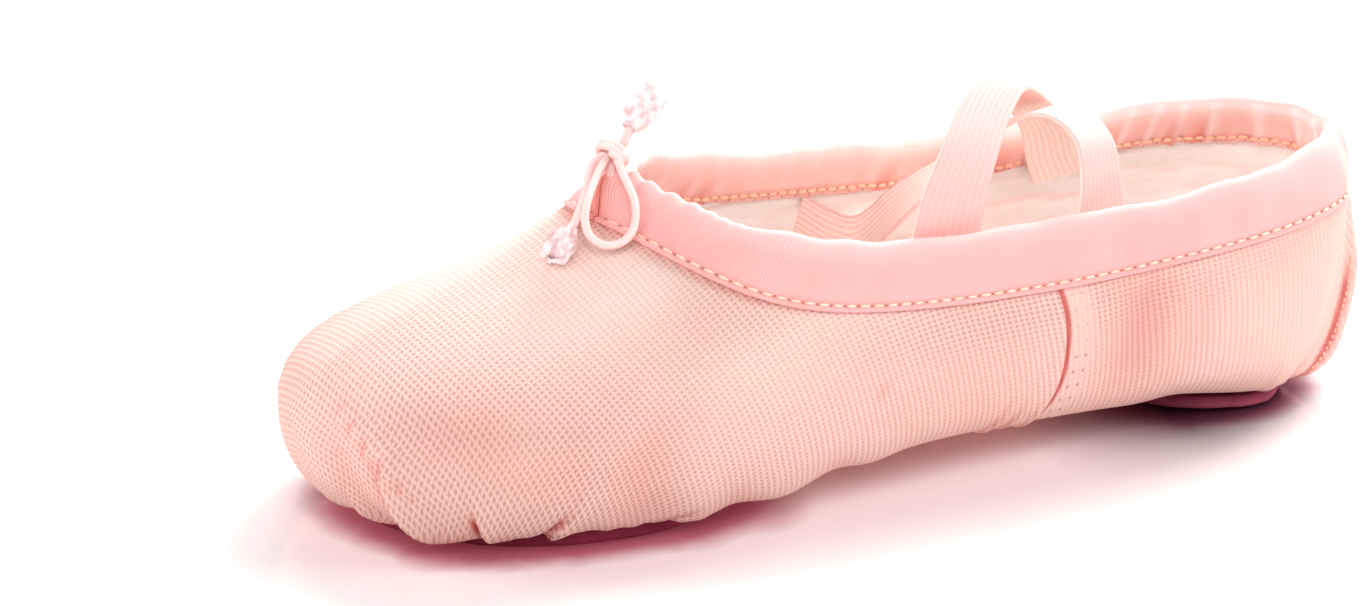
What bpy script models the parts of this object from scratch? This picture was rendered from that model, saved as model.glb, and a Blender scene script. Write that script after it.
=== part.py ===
"""A soft canvas ballet flat with a split sole, modelled at its real size in metres.

The toe points towards -Y, the heel towards +Y, and the sole stands on Z = 0. The last is straight,
so the upper, the binding, the insole and both sole pads are the same on either side of X = 0.
Every one of them comes from one surface, the outside of the canvas, which runs round half the foot
from the middle of the toe to the middle of the heel. The elastic straps cross over the instep,
and the drawcord is tied in a half bow at the throat.
"""

from collections import namedtuple

import bmesh
import bpy
import numpy as np

MM = 0.001

# Driving sizes of the last, over the canvas.
LENGTH = 232 * MM
BALL_WIDTH = 77 * MM
INSTEP_HEIGHT = 64 * MM
HEEL_HEIGHT = 52 * MM

# Cloth, tape, elastic, cord and suede.
CANVAS = 1.2 * MM
TAPE = 0.8 * MM
TAPE_DEPTH = 13 * MM
TAPE_DEPTH_INSIDE = 11.5 * MM
TAPE_BUTT_GAP = 1.0 * MM
SUEDE = 2.2 * MM
SUEDE_PRESSED = 0.5 * MM
SUEDE_BEVEL = 0.8 * MM
INSOLE = 1.2 * MM
INSOLE_INSET = 3.5 * MM
INSOLE_GAP = 0.6 * MM
ELASTIC = 1.0 * MM
CORD_DIAMETER = 1.7 * MM
GAP = 0.3 * MM

# The seams: the vamp's folded edge stands proud of the quarter, and the back seam is a low ridge.
SIDE_SEAM_ROUND = 0.665
SIDE_SEAM_HALF_WIDTH = 0.006
SEAM_FOLD = 0.5 * MM
SEAM_GROOVE = -0.3 * MM
BACK_SEAM_RIDGE = 0.5 * MM

# The underside, along the middle of the foot.
BALL_END, ARCH_FRONT = -50 * MM, 8 * MM
ARCH_BACK, HEEL_START = 40 * MM, 76 * MM
ARCH_RISE = 6.0 * MM
HEEL_FLAT_END, HEEL_TUCK = 87 * MM, 2.6 * MM

# The split sole: each pad is an egg, widest towards its broad end.
Pad = namedtuple("Pad", "half_width middle half_length broad_end")
FORE_PAD = Pad(half_width=28.5 * MM, middle=-57 * MM, half_length=42 * MM, broad_end=-0.08)
HEEL_PAD = Pad(half_width=19.5 * MM, middle=84 * MM, half_length=20 * MM, broad_end=-0.06)
LASTING_MARGIN = 8 * MM

# How finely the surfaces are cut into faces.
RIBS = 38
UNDER_STEPS, LOWER_STEPS = 3, 5
UPPER_SHARES = [0.12, 0.30, 0.52, 0.76, 1.0]
TAPE_ROWS = [7 * MM]
PAD_SIDES = 36
STRAP_STEPS = 3

# The last, one row a station round half the foot. Each place is (along, out, up): along is a share of
# the length from the toe, out a share of half the ball width, and up a share of the height there.
# feather: where the upper turns under. widest: the fullest line of the side. crown: the line that
# draws the instep in. collar: the finished top edge.
Station = namedtuple("Station", "name feather widest crown collar")
LAST = [Station(*row) for row in [
    ("toe", (0.079, 0, 0.045), (0.000, 0, 0.346), (0.141, 0, 0.645), (0.293, 0, 1.055)),
    ("toe side", (0.101, 0.39, 0.038), (0.036, 0.58, 0.346), (0.171, 0.33, 0.643), (0.317, 0.16, 1.010)),
    ("toe corner", (0.161, 0.65, 0.046), (0.112, 0.92, 0.364), (0.236, 0.48, 0.630), (0.341, 0.39, 0.983)),
    ("ball front", (0.263, 0.80, 0.058), (0.231, 1.02, 0.347), (0.317, 0.71, 0.610), (0.375, 0.59, 0.948)),
    ("ball", (0.379, 0.80, 0.100), (0.362, 1.00, 0.344), (0.416, 0.82, 0.602), (0.440, 0.68, 0.902)),
    ("waist front", (0.511, 0.67, 0.155), (0.500, 0.92, 0.348), (0.530, 0.82, 0.606), (0.543, 0.69, 0.887)),
    ("waist", (0.655, 0.59, 0.150), (0.642, 0.84, 0.386), (0.655, 0.80, 0.666), (0.668, 0.63, 0.890)),
    ("quarter", (0.784, 0.59, 0.124), (0.776, 0.79, 0.438), (0.782, 0.74, 0.742), (0.800, 0.59, 0.928)),
    ("heel side", (0.894, 0.53, 0.071), (0.916, 0.63, 0.483), (0.918, 0.58, 0.831), (0.913, 0.41, 0.982)),
    ("heel", (0.944, 0, 0.103), (0.998, 0, 0.529), (0.999, 0, 0.896), (0.979, 0, 1.003)),
]]

# How full the side is below and above its widest line, and how much fuller it is over the toe.
LOW_FULLNESS, HIGH_FULLNESS, TOE_FULLNESS = 0.6, 0.6, 0.4
TOE_ROUND = 0.33

# The elastics, one row a fold, in millimetres: where the front and the rear edge lie.
Fold = namedtuple("Fold", "front rear")
FRONT_STRAP = [
    Fold((25.8, 1.5, 40), (24.5, 16.5, 39)),
    Fold((24.3, 2.0, 46), (22.8, 17.5, 45)),
    Fold((23.5, 4.5, 57), (21.5, 20.0, 54.5)),
    Fold((20, 10.5, 65.5), (17.5, 24.5, 61.5)),
    Fold((12, 19, 70.5), (9.5, 32.5, 66.5)),
    Fold((4, 28, 71), (2, 41, 67)),
    Fold((-5, 38.5, 64.5), (-6, 52, 60)),
    Fold((-13, 48.5, 53.5), (-14, 62, 51)),
    Fold((-20.5, 55, 43.5), (-20.5, 68, 43.5)),
    Fold((-25.3, 60, 36), (-24.8, 73, 38)),
]
REAR_STRAP = [
    Fold((23.6, 41, 39), (23.2, 54, 38)),
    Fold((22.2, 41, 45), (19.2, 54, 44)),
    Fold((21.0, 42, 56), (14.8, 54, 54.5)),
    Fold((18, 41.5, 63), (11.5, 53.5, 60)),
    Fold((10, 40, 65), (4.5, 52, 62.5)),
    Fold((2.5, 36.5, 62), (-3, 47.5, 61)),
    Fold((-3, 30.5, 54), (-9, 40, 55.5)),
    Fold((-8, 24.5, 44), (-14.5, 32.5, 49)),
    Fold((-13.5, 19, 37.5), (-20, 27.5, 41.5)),
    Fold((-19, 14, 33.5), (-24.5, 23, 36)),
    Fold((-25, 9.5, 33.5), (-27.2, 20, 35)),
]

# The drawcord, in millimetres. Each run is a smooth curve through its own points.
KNOT_AT = (0.4, -50.3, 66.9)
KNOT_SIZE = (2.8, 2.8, 2.1)
CORD_RUNS = {
    "drawcord_loop": [
        (2.0, -53.1, 65.9),
        (3.3, -54.9, 64.6),
        (5.4, -57.2, 62.7),
        (7.6, -59.4, 60.5),
        (9.4, -60.6, 57.9),
        (11.3, -60.4, 55.5),
        (13.0, -58.4, 54.1),
        (13.8, -55.6, 54.3),
        (13.5, -53.0, 55.7),
        (11.9, -51.2, 58.1),
        (9.7, -50.4, 60.8),
        (7.4, -50.5, 63.0),
        (5.0, -50.6, 64.9),
        (3.7, -50.6, 66.0),
    ],
    "drawcord_end_high": [
        (0.0, -47.8, 68.5),
        (-0.5, -46.8, 69.7),
        (-0.9, -46.0, 70.7),
        (-1.3, -45.3, 71.6),
    ],
    "drawcord_end_low": [
        (-0.6, -53.4, 65.4),
        (0.2, -54.7, 64.2),
        (1.9, -56.3, 62.2),
        (3.8, -58.1, 60.1),
        (5.5, -60.0, 57.9),
        (6.7, -61.8, 56.2),
    ],
}
TIPS = {
    "cord_tip_high": ((-2.9, -42.0, 73.6), (-0.42, 0.80, 0.48)),
    "cord_tip_low": ((8.5, -65.1, 53.9), (0.42, -0.78, -0.52)),
}
TIP_LENGTH, TIP_RADIUS = 7.0 * MM, 2.3 * MM

COLOURS = {
    "canvas": ((0.93, 0.55, 0.47), 0.85),
    "tape": ((0.94, 0.56, 0.52), 0.80),
    "lining": ((0.95, 0.72, 0.62), 0.90),
    "suede": ((0.24, 0.05, 0.09), 0.95),
    "elastic": ((0.96, 0.76, 0.72), 0.75),
    "cord": ((0.97, 0.80, 0.76), 0.55),
    "clear tip": ((0.95, 0.90, 0.88), 0.25),
}


# ---------------------------------------------------------------- the last as a surface


def station_points(line):
    """One line of the last as metres, a row a station."""
    shares = np.array([getattr(row, line) for row in LAST], float)
    along, out, up = shares.T
    height = INSTEP_HEIGHT + (HEEL_HEIGHT - INSTEP_HEIGHT) * along
    return np.stack([out * BALL_WIDTH / 2, (along - 0.5) * LENGTH, up * height], axis=1)


def rail(line, around):
    """The line at each share of the way round the foot: a cubic B-spline through its stations.

    Past either end it goes on as its own mirror image, so that the two halves meet smoothly.
    """
    knots = station_points(line)
    last = len(knots) - 1
    mirror = np.array([-1.0, 1.0, 1.0])
    control = np.zeros_like(knots)
    for axis, sign in enumerate(mirror):
        weights = np.zeros((last + 1, last + 1))
        for i in range(last + 1):
            weights[i, i] += 4
            for j in (i - 1, i + 1):
                inside = 0 <= j <= last
                weights[i, j if inside else 2 * (0 if j < 0 else last) - j] += 1 if inside else sign
        control[:, axis] = np.linalg.solve(weights / 6, knots[:, axis])
    padded = np.vstack([control[1] * mirror, control, control[-2] * mirror, control[-2] * mirror])
    place = np.clip(around, 0, 1) * last
    i = np.minimum(place.astype(int), last - 1)
    f = (place - i)[:, None]
    a, b, c, d = padded[i], padded[i + 1], padded[i + 2], padded[i + 3]
    return (
        (1 - f) ** 3 * a + (3 * f**3 - 6 * f**2 + 4) * b + (-3 * f**3 + 3 * f**2 + 3 * f + 1) * c + f**3 * d
    ) / 6


def bezier(a, b, c, d, steps):
    """Points on one cubic curve a rib, as an array of ribs by steps."""
    s = np.asarray(steps)[None, :, None]
    a, b, c, d = (p[:, None, :] for p in (a, b, c, d))
    return (1 - s) ** 3 * a + 3 * (1 - s) ** 2 * s * b + 3 * (1 - s) * s**2 * c + s**3 * d


def smooth_step(start, end, y):
    f = np.clip((y - start) / (end - start), 0, 1)
    return f * f * (3 - 2 * f)


def under_canvas(x, y):
    """Height of the outside of the canvas under the foot: level, arched at the waist, up at its edge."""
    edge = rail("feather", np.linspace(0, 1, 200))
    edge_out = np.maximum(np.interp(y, edge[:, 1], edge[:, 0]), 4 * MM)
    edge_up = np.interp(y, edge[:, 1], edge[:, 2])
    arch = smooth_step(BALL_END, ARCH_FRONT, y) * (1 - smooth_step(ARCH_BACK, HEEL_START, y))
    tuck = smooth_step(HEEL_FLAT_END, edge[-1, 1], y)
    middle = SUEDE + GAP + ARCH_RISE * arch + HEEL_TUCK * tuck
    return middle + (edge_up - middle) * np.clip(abs(x) / edge_out, 0, 1) ** 2


def side_curves(around):
    """The four control rows of the lower and of the upper curve of each rib."""
    feather, widest, crown, collar = (rail(line, around) for line in Station._fields[1:])
    level = (widest - feather) * [1, 1, 0]
    plumb = np.array([0, 0, 1.0])
    low_rise = LOW_FULLNESS * (widest - feather)[:, 2:] * plumb
    toe = (1 - np.clip(around / TOE_ROUND, 0, 1)) ** 2
    high_rise = (HIGH_FULLNESS + TOE_FULLNESS * toe)[:, None] * (crown - widest)[:, 2:] * plumb
    lower = (feather, feather + LOW_FULLNESS * level, widest - low_rise, widest)
    upper = (widest, widest + high_rise, crown, collar)
    return lower, upper


def below_collar(around, depths):
    """Points on the canvas at these depths below the finished edge, measured down each rib."""
    fine = bezier(*side_curves(around)[1], np.linspace(1, 0, 60))
    run = np.zeros(fine.shape[:2])
    run[:, 1:] = np.cumsum(np.linalg.norm(np.diff(fine, axis=1), axis=2), axis=1)
    rows = [[np.interp(depths, r, p[:, k]) for k in range(3)] for r, p in zip(run, fine)]
    return np.array(rows).transpose(0, 2, 1)


def outward(grid, around):
    """Unit normals of a grid that covers half the foot, with its mirror image past both ends."""
    mirror = np.array([-1.0, 1.0, 1.0])
    full = np.concatenate([grid[1:2] * mirror, grid, grid[-2:-1] * mirror])
    along = np.gradient(full, axis=0)[1:-1]
    across = np.gradient(grid, axis=1)
    normal = np.cross(along, across)
    normal[(around == 0) | (around == 1), :, 0] = 0
    return normal / np.maximum(np.linalg.norm(normal, axis=2, keepdims=True), 1e-12)


# ---------------------------------------------------------------- making objects


def principled(name):
    """The named material, made once."""
    material = bpy.data.materials.get(name)
    if material is None:
        colour, roughness = COLOURS[name]
        material = bpy.data.materials.new(name)
        material.use_nodes = True
        shader = material.node_tree.nodes["Principled BSDF"]
        shader.inputs["Base Color"].default_value = (*colour, 1)
        shader.inputs["Roughness"].default_value = roughness
        shader.inputs["Metallic"].default_value = 0
    return material


def add_object(name, data, material, collection):
    part = bpy.data.objects.new(name, data)
    collection.objects.link(part)
    if material is not None:
        data.materials.append(principled(material))
    return part


def loft(name, grid, closed_across=False, caps=False):
    """A mesh over a grid of points, rows by columns, with its ends closed where caps is set.

    An open surface faces the side that its rows crossed with its columns point to.
    """
    rows, columns = grid.shape[:2]
    mesh = bpy.data.meshes.new(name)
    faces = []
    for i in range(rows - 1):
        for j in range(columns if closed_across else columns - 1):
            near, far = i * columns, (i + 1) * columns
            right = (j + 1) % columns
            faces.append((near + j, far + j, far + right, near + right))
    if caps:
        faces.append(tuple(reversed(range(columns))))
        faces.append(tuple(range((rows - 1) * columns, rows * columns)))
    mesh.from_pydata(grid.reshape(-1, 3).tolist(), [], faces)
    tidy = bmesh.new()
    tidy.from_mesh(mesh)
    bmesh.ops.remove_doubles(tidy, verts=tidy.verts, dist=0.01 * MM)
    bmesh.ops.dissolve_degenerate(tidy, edges=tidy.edges, dist=0.01 * MM)
    if closed_across:
        bmesh.ops.recalc_face_normals(tidy, faces=tidy.faces)
    tidy.to_mesh(mesh)
    tidy.free()
    mesh.shade_smooth()
    return mesh


def add_mirror(part):
    mirror = part.modifiers.new("Other half", "MIRROR")
    mirror.use_axis = (True, False, False)
    mirror.use_clip = True
    mirror.merge_threshold = 0.1 * MM


def add_wall(part, thickness, offset):
    wall = part.modifiers.new("Wall", "SOLIDIFY")
    wall.thickness = thickness
    wall.offset = offset
    wall.use_even_offset = True


# ---------------------------------------------------------------- upper, binding, insole


def seam_relief(around):
    """How far the canvas stands out along each rib, for the folded side seam and the back seam."""
    stops = SIDE_SEAM_ROUND + SIDE_SEAM_HALF_WIDTH * np.array([-3, -1, 0, 1])
    side = np.interp(around, stops, [0, SEAM_FOLD, SEAM_GROOVE, 0], left=0, right=0)
    return side + np.where(around == 1, BACK_SEAM_RIDGE, 0)


def seam_reach():
    """Share of the relief at each step up a rib: all of it on the side, none under the foot or the tape."""
    side = LOWER_STEPS + len(UPPER_SHARES) - 1
    under_tape = 1 + len(TAPE_ROWS) + 1
    return np.concatenate([np.zeros(UNDER_STEPS), [0.5], np.ones(side), np.zeros(under_tape)])


def rib_places():
    """Where the ribs stand round the foot, with rows of their own at the side seam."""
    even = np.linspace(0, 1, RIBS)
    seam = SIDE_SEAM_ROUND + SIDE_SEAM_HALF_WIDTH * np.array([-3, -1, 0, 1])
    clear = even[(even < seam[0] - 0.008) | (even > seam[-1] + 0.008)]
    return np.sort(np.concatenate([clear, seam]))


def canvas_grid(around):
    """The outside of the canvas, from the middle of the sole up to its edge inside the binding."""
    lower, _ = side_curves(around)
    feather = lower[0]
    middle_y = feather[0, 1] + (feather[-1, 1] - feather[0, 1]) * np.linspace(0.04, 0.96, len(around))
    share = np.linspace(0, 1, UNDER_STEPS + 1)[None, :-1]
    under = np.zeros((len(around), UNDER_STEPS, 3))
    under[..., 0] = feather[:, None, 0] * share
    under[..., 1] = middle_y[:, None] + (feather[:, 1] - middle_y)[:, None] * share
    under[..., 2] = under_canvas(under[..., 0], under[..., 1])
    side = bezier(*lower, np.linspace(0, 1, LOWER_STEPS + 1))
    rows = [rib_rows(place) for place in around]
    return np.concatenate([under, side, np.array(rows)], axis=1)


def rib_rows(place):
    """Points up one rib from its fullest line to the canvas edge, closest where it bends most."""
    around = np.array([place])
    curve = bezier(*side_curves(around)[1], np.linspace(1, 0, 60))
    height = np.linalg.norm(np.diff(curve, axis=1), axis=2).sum()
    free = height + (TAPE_DEPTH - height) * np.array(UPPER_SHARES)
    return below_collar(around, np.concatenate([free, TAPE_ROWS, [roll_radius()]]))[0]


def roll_radius():
    """Radius of the binding's rolled edge, over the canvas with a gap on both sides."""
    return (CANVAS + 2 * GAP + 2 * TAPE) / 2


def make_upper(parts, cutters):
    around = rib_places()
    grid = canvas_grid(around)
    relief = np.outer(seam_relief(around), seam_reach())
    grid = grid + outward(grid, around) * relief[..., None]
    upper = add_object("upper", loft("upper", grid), "canvas", parts)
    add_mirror(upper)
    add_wall(upper, CANVAS, -1)
    for pad, name in ((FORE_PAD, "fore_opening"), (HEEL_PAD, "heel_opening")):
        ring = egg(pad, 1, LASTING_MARGIN)
        prism = np.stack([np.column_stack([ring, np.full(len(ring), z)]) for z in (-2 * MM, 7 * MM)])
        cutter = add_object(name, loft(name, prism, closed_across=True, caps=True), None, cutters)
        cutter.hide_render = True
        cutter.display_type = "WIRE"
        opening = upper.modifiers.new(name, "BOOLEAN")
        opening.operation = "DIFFERENCE"
        opening.object = cutter


def make_binding(parts):
    """The tape folded over the collar, a C in plan whose two ends butt at the throat."""
    around = rib_places()
    radius = roll_radius()
    middle = -CANVAS / 2
    outside = middle + radius
    inside = middle - radius
    # Section of the tape, once round: depth below the finished edge, and distance out of the canvas.
    Corner = namedtuple("Corner", "depth out")
    upward = [Corner(depth, outside) for depth in (TAPE_DEPTH, *TAPE_ROWS)]
    roll = [
        Corner(radius - radius * np.sin(angle), middle + radius * np.cos(angle))
        for angle in np.linspace(0, np.pi, 5)
    ]
    downward = [Corner(depth, inside) for depth in (*reversed(TAPE_ROWS), TAPE_DEPTH_INSIDE)]
    lining = [Corner(corner.depth, inside + TAPE) for corner in reversed(downward)]
    crest = [Corner(radius - GAP, inside + TAPE), Corner(radius - GAP, outside - TAPE)]
    facing = [Corner(corner.depth, outside - TAPE) for corner in reversed(upward)]
    section = upward + roll + downward + lining + crest + facing
    depths = np.array([corner.depth for corner in section])
    out = np.array([corner.out for corner in section])
    fine_depths = np.linspace(0, TAPE_DEPTH, 14)
    canvas = below_collar(around, fine_depths)
    normal = outward(canvas[:, ::-1], around)[:, ::-1]
    grid = np.empty((len(around), len(section), 3))
    for i in range(len(around)):
        for k in range(3):
            grid[i, :, k] = np.interp(depths, fine_depths, canvas[i, :, k])
            grid[i, :, k] += out * np.interp(depths, fine_depths, normal[i, :, k])
    grid[0, :, 0] = TAPE_BUTT_GAP / 2
    grid[-1, :, 0] = 0
    mesh = loft("collar_binding", grid, closed_across=True)
    bottom = bmesh.new()
    bottom.from_mesh(mesh)
    butt = [e for e in bottom.edges if e.is_boundary and max(v.co.y for v in e.verts) < 0]
    bmesh.ops.contextual_create(bottom, geom=butt)
    bmesh.ops.recalc_face_normals(bottom, faces=bottom.faces)
    bottom.to_mesh(mesh)
    bottom.free()
    binding = add_object("collar_binding", mesh, "tape", parts)
    add_mirror(binding)


def make_insole(parts):
    around = np.linspace(0, 1, 26)
    feather = rail("feather", around)
    middle = np.zeros_like(feather)
    middle[:, 1] = np.linspace(feather[0, 1] + 14 * MM, feather[-1, 1] - 12 * MM, len(around))
    reach = np.linalg.norm((feather - middle)[:, :2], axis=1)
    share = (1 - INSOLE_INSET / reach)[:, None] * np.linspace(0, 1, 4)[None]
    grid = middle[:, None, :] + (feather - middle)[:, None, :] * share[..., None]
    grid[..., 2] = under_canvas(grid[..., 0], grid[..., 1]) + CANVAS + INSOLE_GAP
    insole = add_object("insole", loft("insole", grid), "lining", parts)
    add_mirror(insole)
    add_wall(insole, INSOLE, -1)


# ---------------------------------------------------------------- split sole


def egg(pad, share, inset=0.0):
    """The pad's outline in plan at a share of its size, or set in from it."""
    angle = np.linspace(0, 2 * np.pi, PAD_SIDES, endpoint=False)
    width = (pad.half_width - inset) * share * (1 + pad.broad_end * np.cos(angle))
    length = (pad.half_length - inset) * share
    return np.column_stack([width * np.sin(angle), pad.middle - length * np.cos(angle)])


def make_pad(name, pad, parts):
    """A suede pad that follows the canvas above it and is pressed flat where it stands."""
    # Section from the middle of the top, over the edge, to the middle of the bottom.
    Ring = namedtuple("Ring", "share is_top lift")
    section = [
        Ring(0.02, True, 0),
        Ring(0.4, True, 0),
        Ring(0.7, True, 0),
        Ring(0.88, True, 0),
        Ring(1.0, True, 0),
        Ring(1.0, False, SUEDE_BEVEL),
        Ring(0.96, False, 0),
        Ring(0.55, False, 0),
        Ring(0.02, False, 0),
    ]
    rings = []
    for ring in section:
        outline = egg(pad, ring.share)
        top = under_canvas(outline[:, 0], outline[:, 1]) - GAP
        bottom = np.maximum(top - SUEDE - SUEDE_PRESSED, 0) + ring.lift
        rings.append(np.column_stack([outline, top if ring.is_top else bottom]))
    mesh = loft(name, np.array(rings), closed_across=True, caps=True)
    add_object(name, mesh, "suede", parts)


# ---------------------------------------------------------------- elastics


def smooth_path(points, steps):
    """Catmull-Rom curve through the points, with this many steps between each two."""
    points = np.asarray(points, float)
    ends = np.vstack([2 * points[0] - points[1], points, 2 * points[-1] - points[-2]])
    path = []
    for a, b, c, d in zip(ends, ends[1:], ends[2:], ends[3:]):
        bend, twist = 2 * a - 5 * b + 4 * c - d, 3 * b - a - 3 * c + d
        for f in np.arange(steps) / steps:
            path.append((2 * b + (c - a) * f + bend * f**2 + twist * f**3) / 2)
    path.append(points[-1])
    return np.array(path)


def make_strap(name, folds, parts):
    front = smooth_path([fold.front for fold in folds], STRAP_STEPS) * MM
    rear = smooth_path([fold.rear for fold in folds], STRAP_STEPS) * MM
    along = np.gradient((front + rear) / 2, axis=0)
    face = np.cross(along, rear - front)
    face *= ELASTIC / 2 / np.linalg.norm(face, axis=1, keepdims=True)
    grid = np.stack([front - face, rear - face, rear + face, front + face], axis=1)
    add_object(name, loft(name, grid, closed_across=True, caps=True), "elastic", parts)


# ---------------------------------------------------------------- drawcord


def resampled(path, spacing):
    """The path's points a given distance apart, both ends kept."""
    run = np.concatenate([[0], np.cumsum(np.linalg.norm(np.diff(path, axis=0), axis=1))])
    places = np.linspace(0, run[-1], max(3, round(run[-1] / spacing) + 1))
    return np.column_stack([np.interp(places, run, path[:, k]) for k in range(3)])


def make_cord(name, points, parts):
    path = resampled(smooth_path(points, 12) * MM, 2 * CORD_DIAMETER)
    curve = bpy.data.curves.new(name, "CURVE")
    curve.dimensions = "3D"
    curve.bevel_depth = CORD_DIAMETER / 2
    curve.bevel_resolution = 2
    curve.use_fill_caps = True
    spline = curve.splines.new("POLY")
    spline.points.add(len(path) - 1)
    for point, place in zip(spline.points, path):
        point.co = (*place, 1)
    add_object(name, curve, "cord", parts)


def make_ball(name, middle, radii, material, parts):
    """A smooth lump with these three radii, for the knot."""
    mesh = bpy.data.meshes.new(name)
    lump = bmesh.new()
    bmesh.ops.create_uvsphere(lump, u_segments=12, v_segments=8, radius=1)
    bmesh.ops.scale(lump, vec=np.array(radii) * MM, verts=lump.verts)
    bmesh.ops.translate(lump, vec=np.array(middle) * MM, verts=lump.verts)
    lump.to_mesh(mesh)
    lump.free()
    mesh.shade_smooth()
    add_object(name, mesh, material, parts)


def make_tip(name, middle, direction, parts):
    """The crimped film on the end of the cord: a short barrel that flares and closes."""
    axis = np.array(direction) / np.linalg.norm(direction)
    side = np.cross(axis, [0, 0, 1])
    side /= np.linalg.norm(side)
    other = np.cross(axis, side)
    angle = np.linspace(0, 2 * np.pi, 10, endpoint=False)[:, None]
    Ring = namedtuple("Ring", "along radius")
    section = [Ring(-0.5, 0.55), Ring(-0.3, 0.9), Ring(0.05, 1.0), Ring(0.3, 0.8), Ring(0.5, 0.4)]
    rings = []
    for ring in section:
        centre = np.array(middle) * MM + axis * ring.along * TIP_LENGTH
        rings.append(centre + ring.radius * TIP_RADIUS * (np.cos(angle) * side + np.sin(angle) * other))
    add_object(name, loft(name, np.array(rings), closed_across=True, caps=True), "clear tip", parts)


# ---------------------------------------------------------------- the whole shoe


def main():
    for leftover in list(bpy.data.objects):
        bpy.data.objects.remove(leftover, do_unlink=True)
    parts = bpy.data.collections.new("ballet_flat")
    cutters = bpy.data.collections.new("cutters")
    for collection in (parts, cutters):
        bpy.context.scene.collection.children.link(collection)
    make_upper(parts, cutters)
    make_binding(parts)
    make_insole(parts)
    make_pad("fore_sole", FORE_PAD, parts)
    make_pad("heel_sole", HEEL_PAD, parts)
    make_strap("strap_front", FRONT_STRAP, parts)
    make_strap("strap_rear", REAR_STRAP, parts)
    make_ball("drawcord_knot", KNOT_AT, KNOT_SIZE, "cord", parts)
    for name, points in CORD_RUNS.items():
        make_cord(name, points, parts)
    for name, (middle, direction) in TIPS.items():
        make_tip(name, middle, direction, parts)


main()
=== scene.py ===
# %% [markdown]
# # Dressing a canvas ballet flat
# The packed model gives the slipper's true solids. This script keeps every size of it and adds what a
# solid can't carry: woven canvas, a ribbed tape with its top stitching, gathered pleats at the toe,
# elastic with its ribs, a knotted drawcord and soft suede pads.

import math
from collections import namedtuple

import bmesh
import bpy
import numpy as np
from mathutils import Matrix, Vector


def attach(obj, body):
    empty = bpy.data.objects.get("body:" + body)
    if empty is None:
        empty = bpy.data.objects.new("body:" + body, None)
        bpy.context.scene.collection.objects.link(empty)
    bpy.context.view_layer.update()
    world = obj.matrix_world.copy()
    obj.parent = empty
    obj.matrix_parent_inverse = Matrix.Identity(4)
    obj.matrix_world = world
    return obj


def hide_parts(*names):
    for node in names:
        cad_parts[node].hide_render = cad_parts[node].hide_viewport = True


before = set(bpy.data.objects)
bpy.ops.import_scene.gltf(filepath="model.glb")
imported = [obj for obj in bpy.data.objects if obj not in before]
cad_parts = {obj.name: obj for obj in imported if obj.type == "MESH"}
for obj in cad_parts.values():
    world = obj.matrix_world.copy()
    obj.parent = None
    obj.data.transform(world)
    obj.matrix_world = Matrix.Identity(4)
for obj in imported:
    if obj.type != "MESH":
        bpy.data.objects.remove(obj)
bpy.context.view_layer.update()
MM = 0.001
print("nodes:", sorted(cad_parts))

# %% [markdown]
# ## Camera
# A long lens from well back keeps the near and far walls of the shoe almost the same size. The camera
# looks down a little on the side of the shoe, past the toe, and is rolled by a few degrees.

# %% Camera
AIM = Vector((0, -33.8, 34.0)) * MM
AZIMUTH, ELEVATION, ROLL = math.radians(60.193), math.radians(21.257), math.radians(2.46)
DISTANCE = 1.6841
LENS_PER_WIDTH = 6.4662

back = Vector((
    math.sin(AZIMUTH) * math.cos(ELEVATION),
    -math.cos(AZIMUTH) * math.cos(ELEVATION),
    math.sin(ELEVATION),
))
right = Vector((math.cos(AZIMUTH), math.sin(AZIMUTH), 0))
up = back.cross(right)
rolled_right = right * math.cos(ROLL) + up * math.sin(ROLL)
rolled_up = up * math.cos(ROLL) - right * math.sin(ROLL)

camera_data = bpy.data.cameras.new("camera")
camera_data.sensor_width = 36
camera_data.lens = LENS_PER_WIDTH * camera_data.sensor_width
camera = bpy.data.objects.new("camera", camera_data)
bpy.context.scene.collection.objects.link(camera)
turn = Matrix((rolled_right, rolled_up, back)).transposed().to_4x4()
camera.matrix_world = Matrix.Translation(AIM + back * DISTANCE) @ turn
camera_data.clip_start, camera_data.clip_end = 0.1, 20
bpy.context.scene.camera = camera
print("camera at", [round(x, 3) for x in camera.matrix_world.translation], "lens", round(camera_data.lens, 1))

# %% [markdown]
# ## Light and floor
# The shoe stands on a white, faintly glossy floor among softboxes. The strongest hangs behind it on
# the far side, so the vamp's top is nearly cream and the near side keeps its colour. Weaker ones by
# the toe, the heel and the camera lift the shadows. The price is that the far side is overexposed.

# %% Light and floor
scene = bpy.context.scene
scene.view_settings.view_transform = "Standard"
scene.view_settings.look = "None"

SOFTBOX_SIZE, FLOOR_REACH, ROOM_GLOW = 0.9, 4, 0.25
world = bpy.data.worlds.new("studio")
world.use_nodes = True
background = world.node_tree.nodes["Background"]
background.inputs["Color"].default_value = (1.0, 0.92, 0.92, 1)
background.inputs["Strength"].default_value = ROOM_GLOW
scene.world = world


def softbox(name, place, power):
    """A square lamp that faces the shoe."""
    light = bpy.data.lights.new(name, "AREA")
    light.shape = "RECTANGLE"
    light.size = light.size_y = SOFTBOX_SIZE
    light.energy = power
    lamp = bpy.data.objects.new(name, light)
    scene.collection.objects.link(lamp)
    lamp.location = place
    lamp.rotation_euler = (Vector((0, 0, 0.03)) - Vector(place)).to_track_quat("-Z", "Y").to_euler()


for name, place, power in (
    ("far heel", (-0.7, 1.2, 1.2), 38), ("far side", (-1.0, 0.6, 1.2), 19),
    ("near heel", (0.9, 1.6, 0.8), 23), ("far toe", (-0.9, -1.3, 0.6), 15),
    ("near toe", (0.9, -1.6, 0.9), 12), ("camera side", (1.4, -0.7, 1.4), 15),
):
    softbox(f"{name} softbox", place, power)

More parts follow.
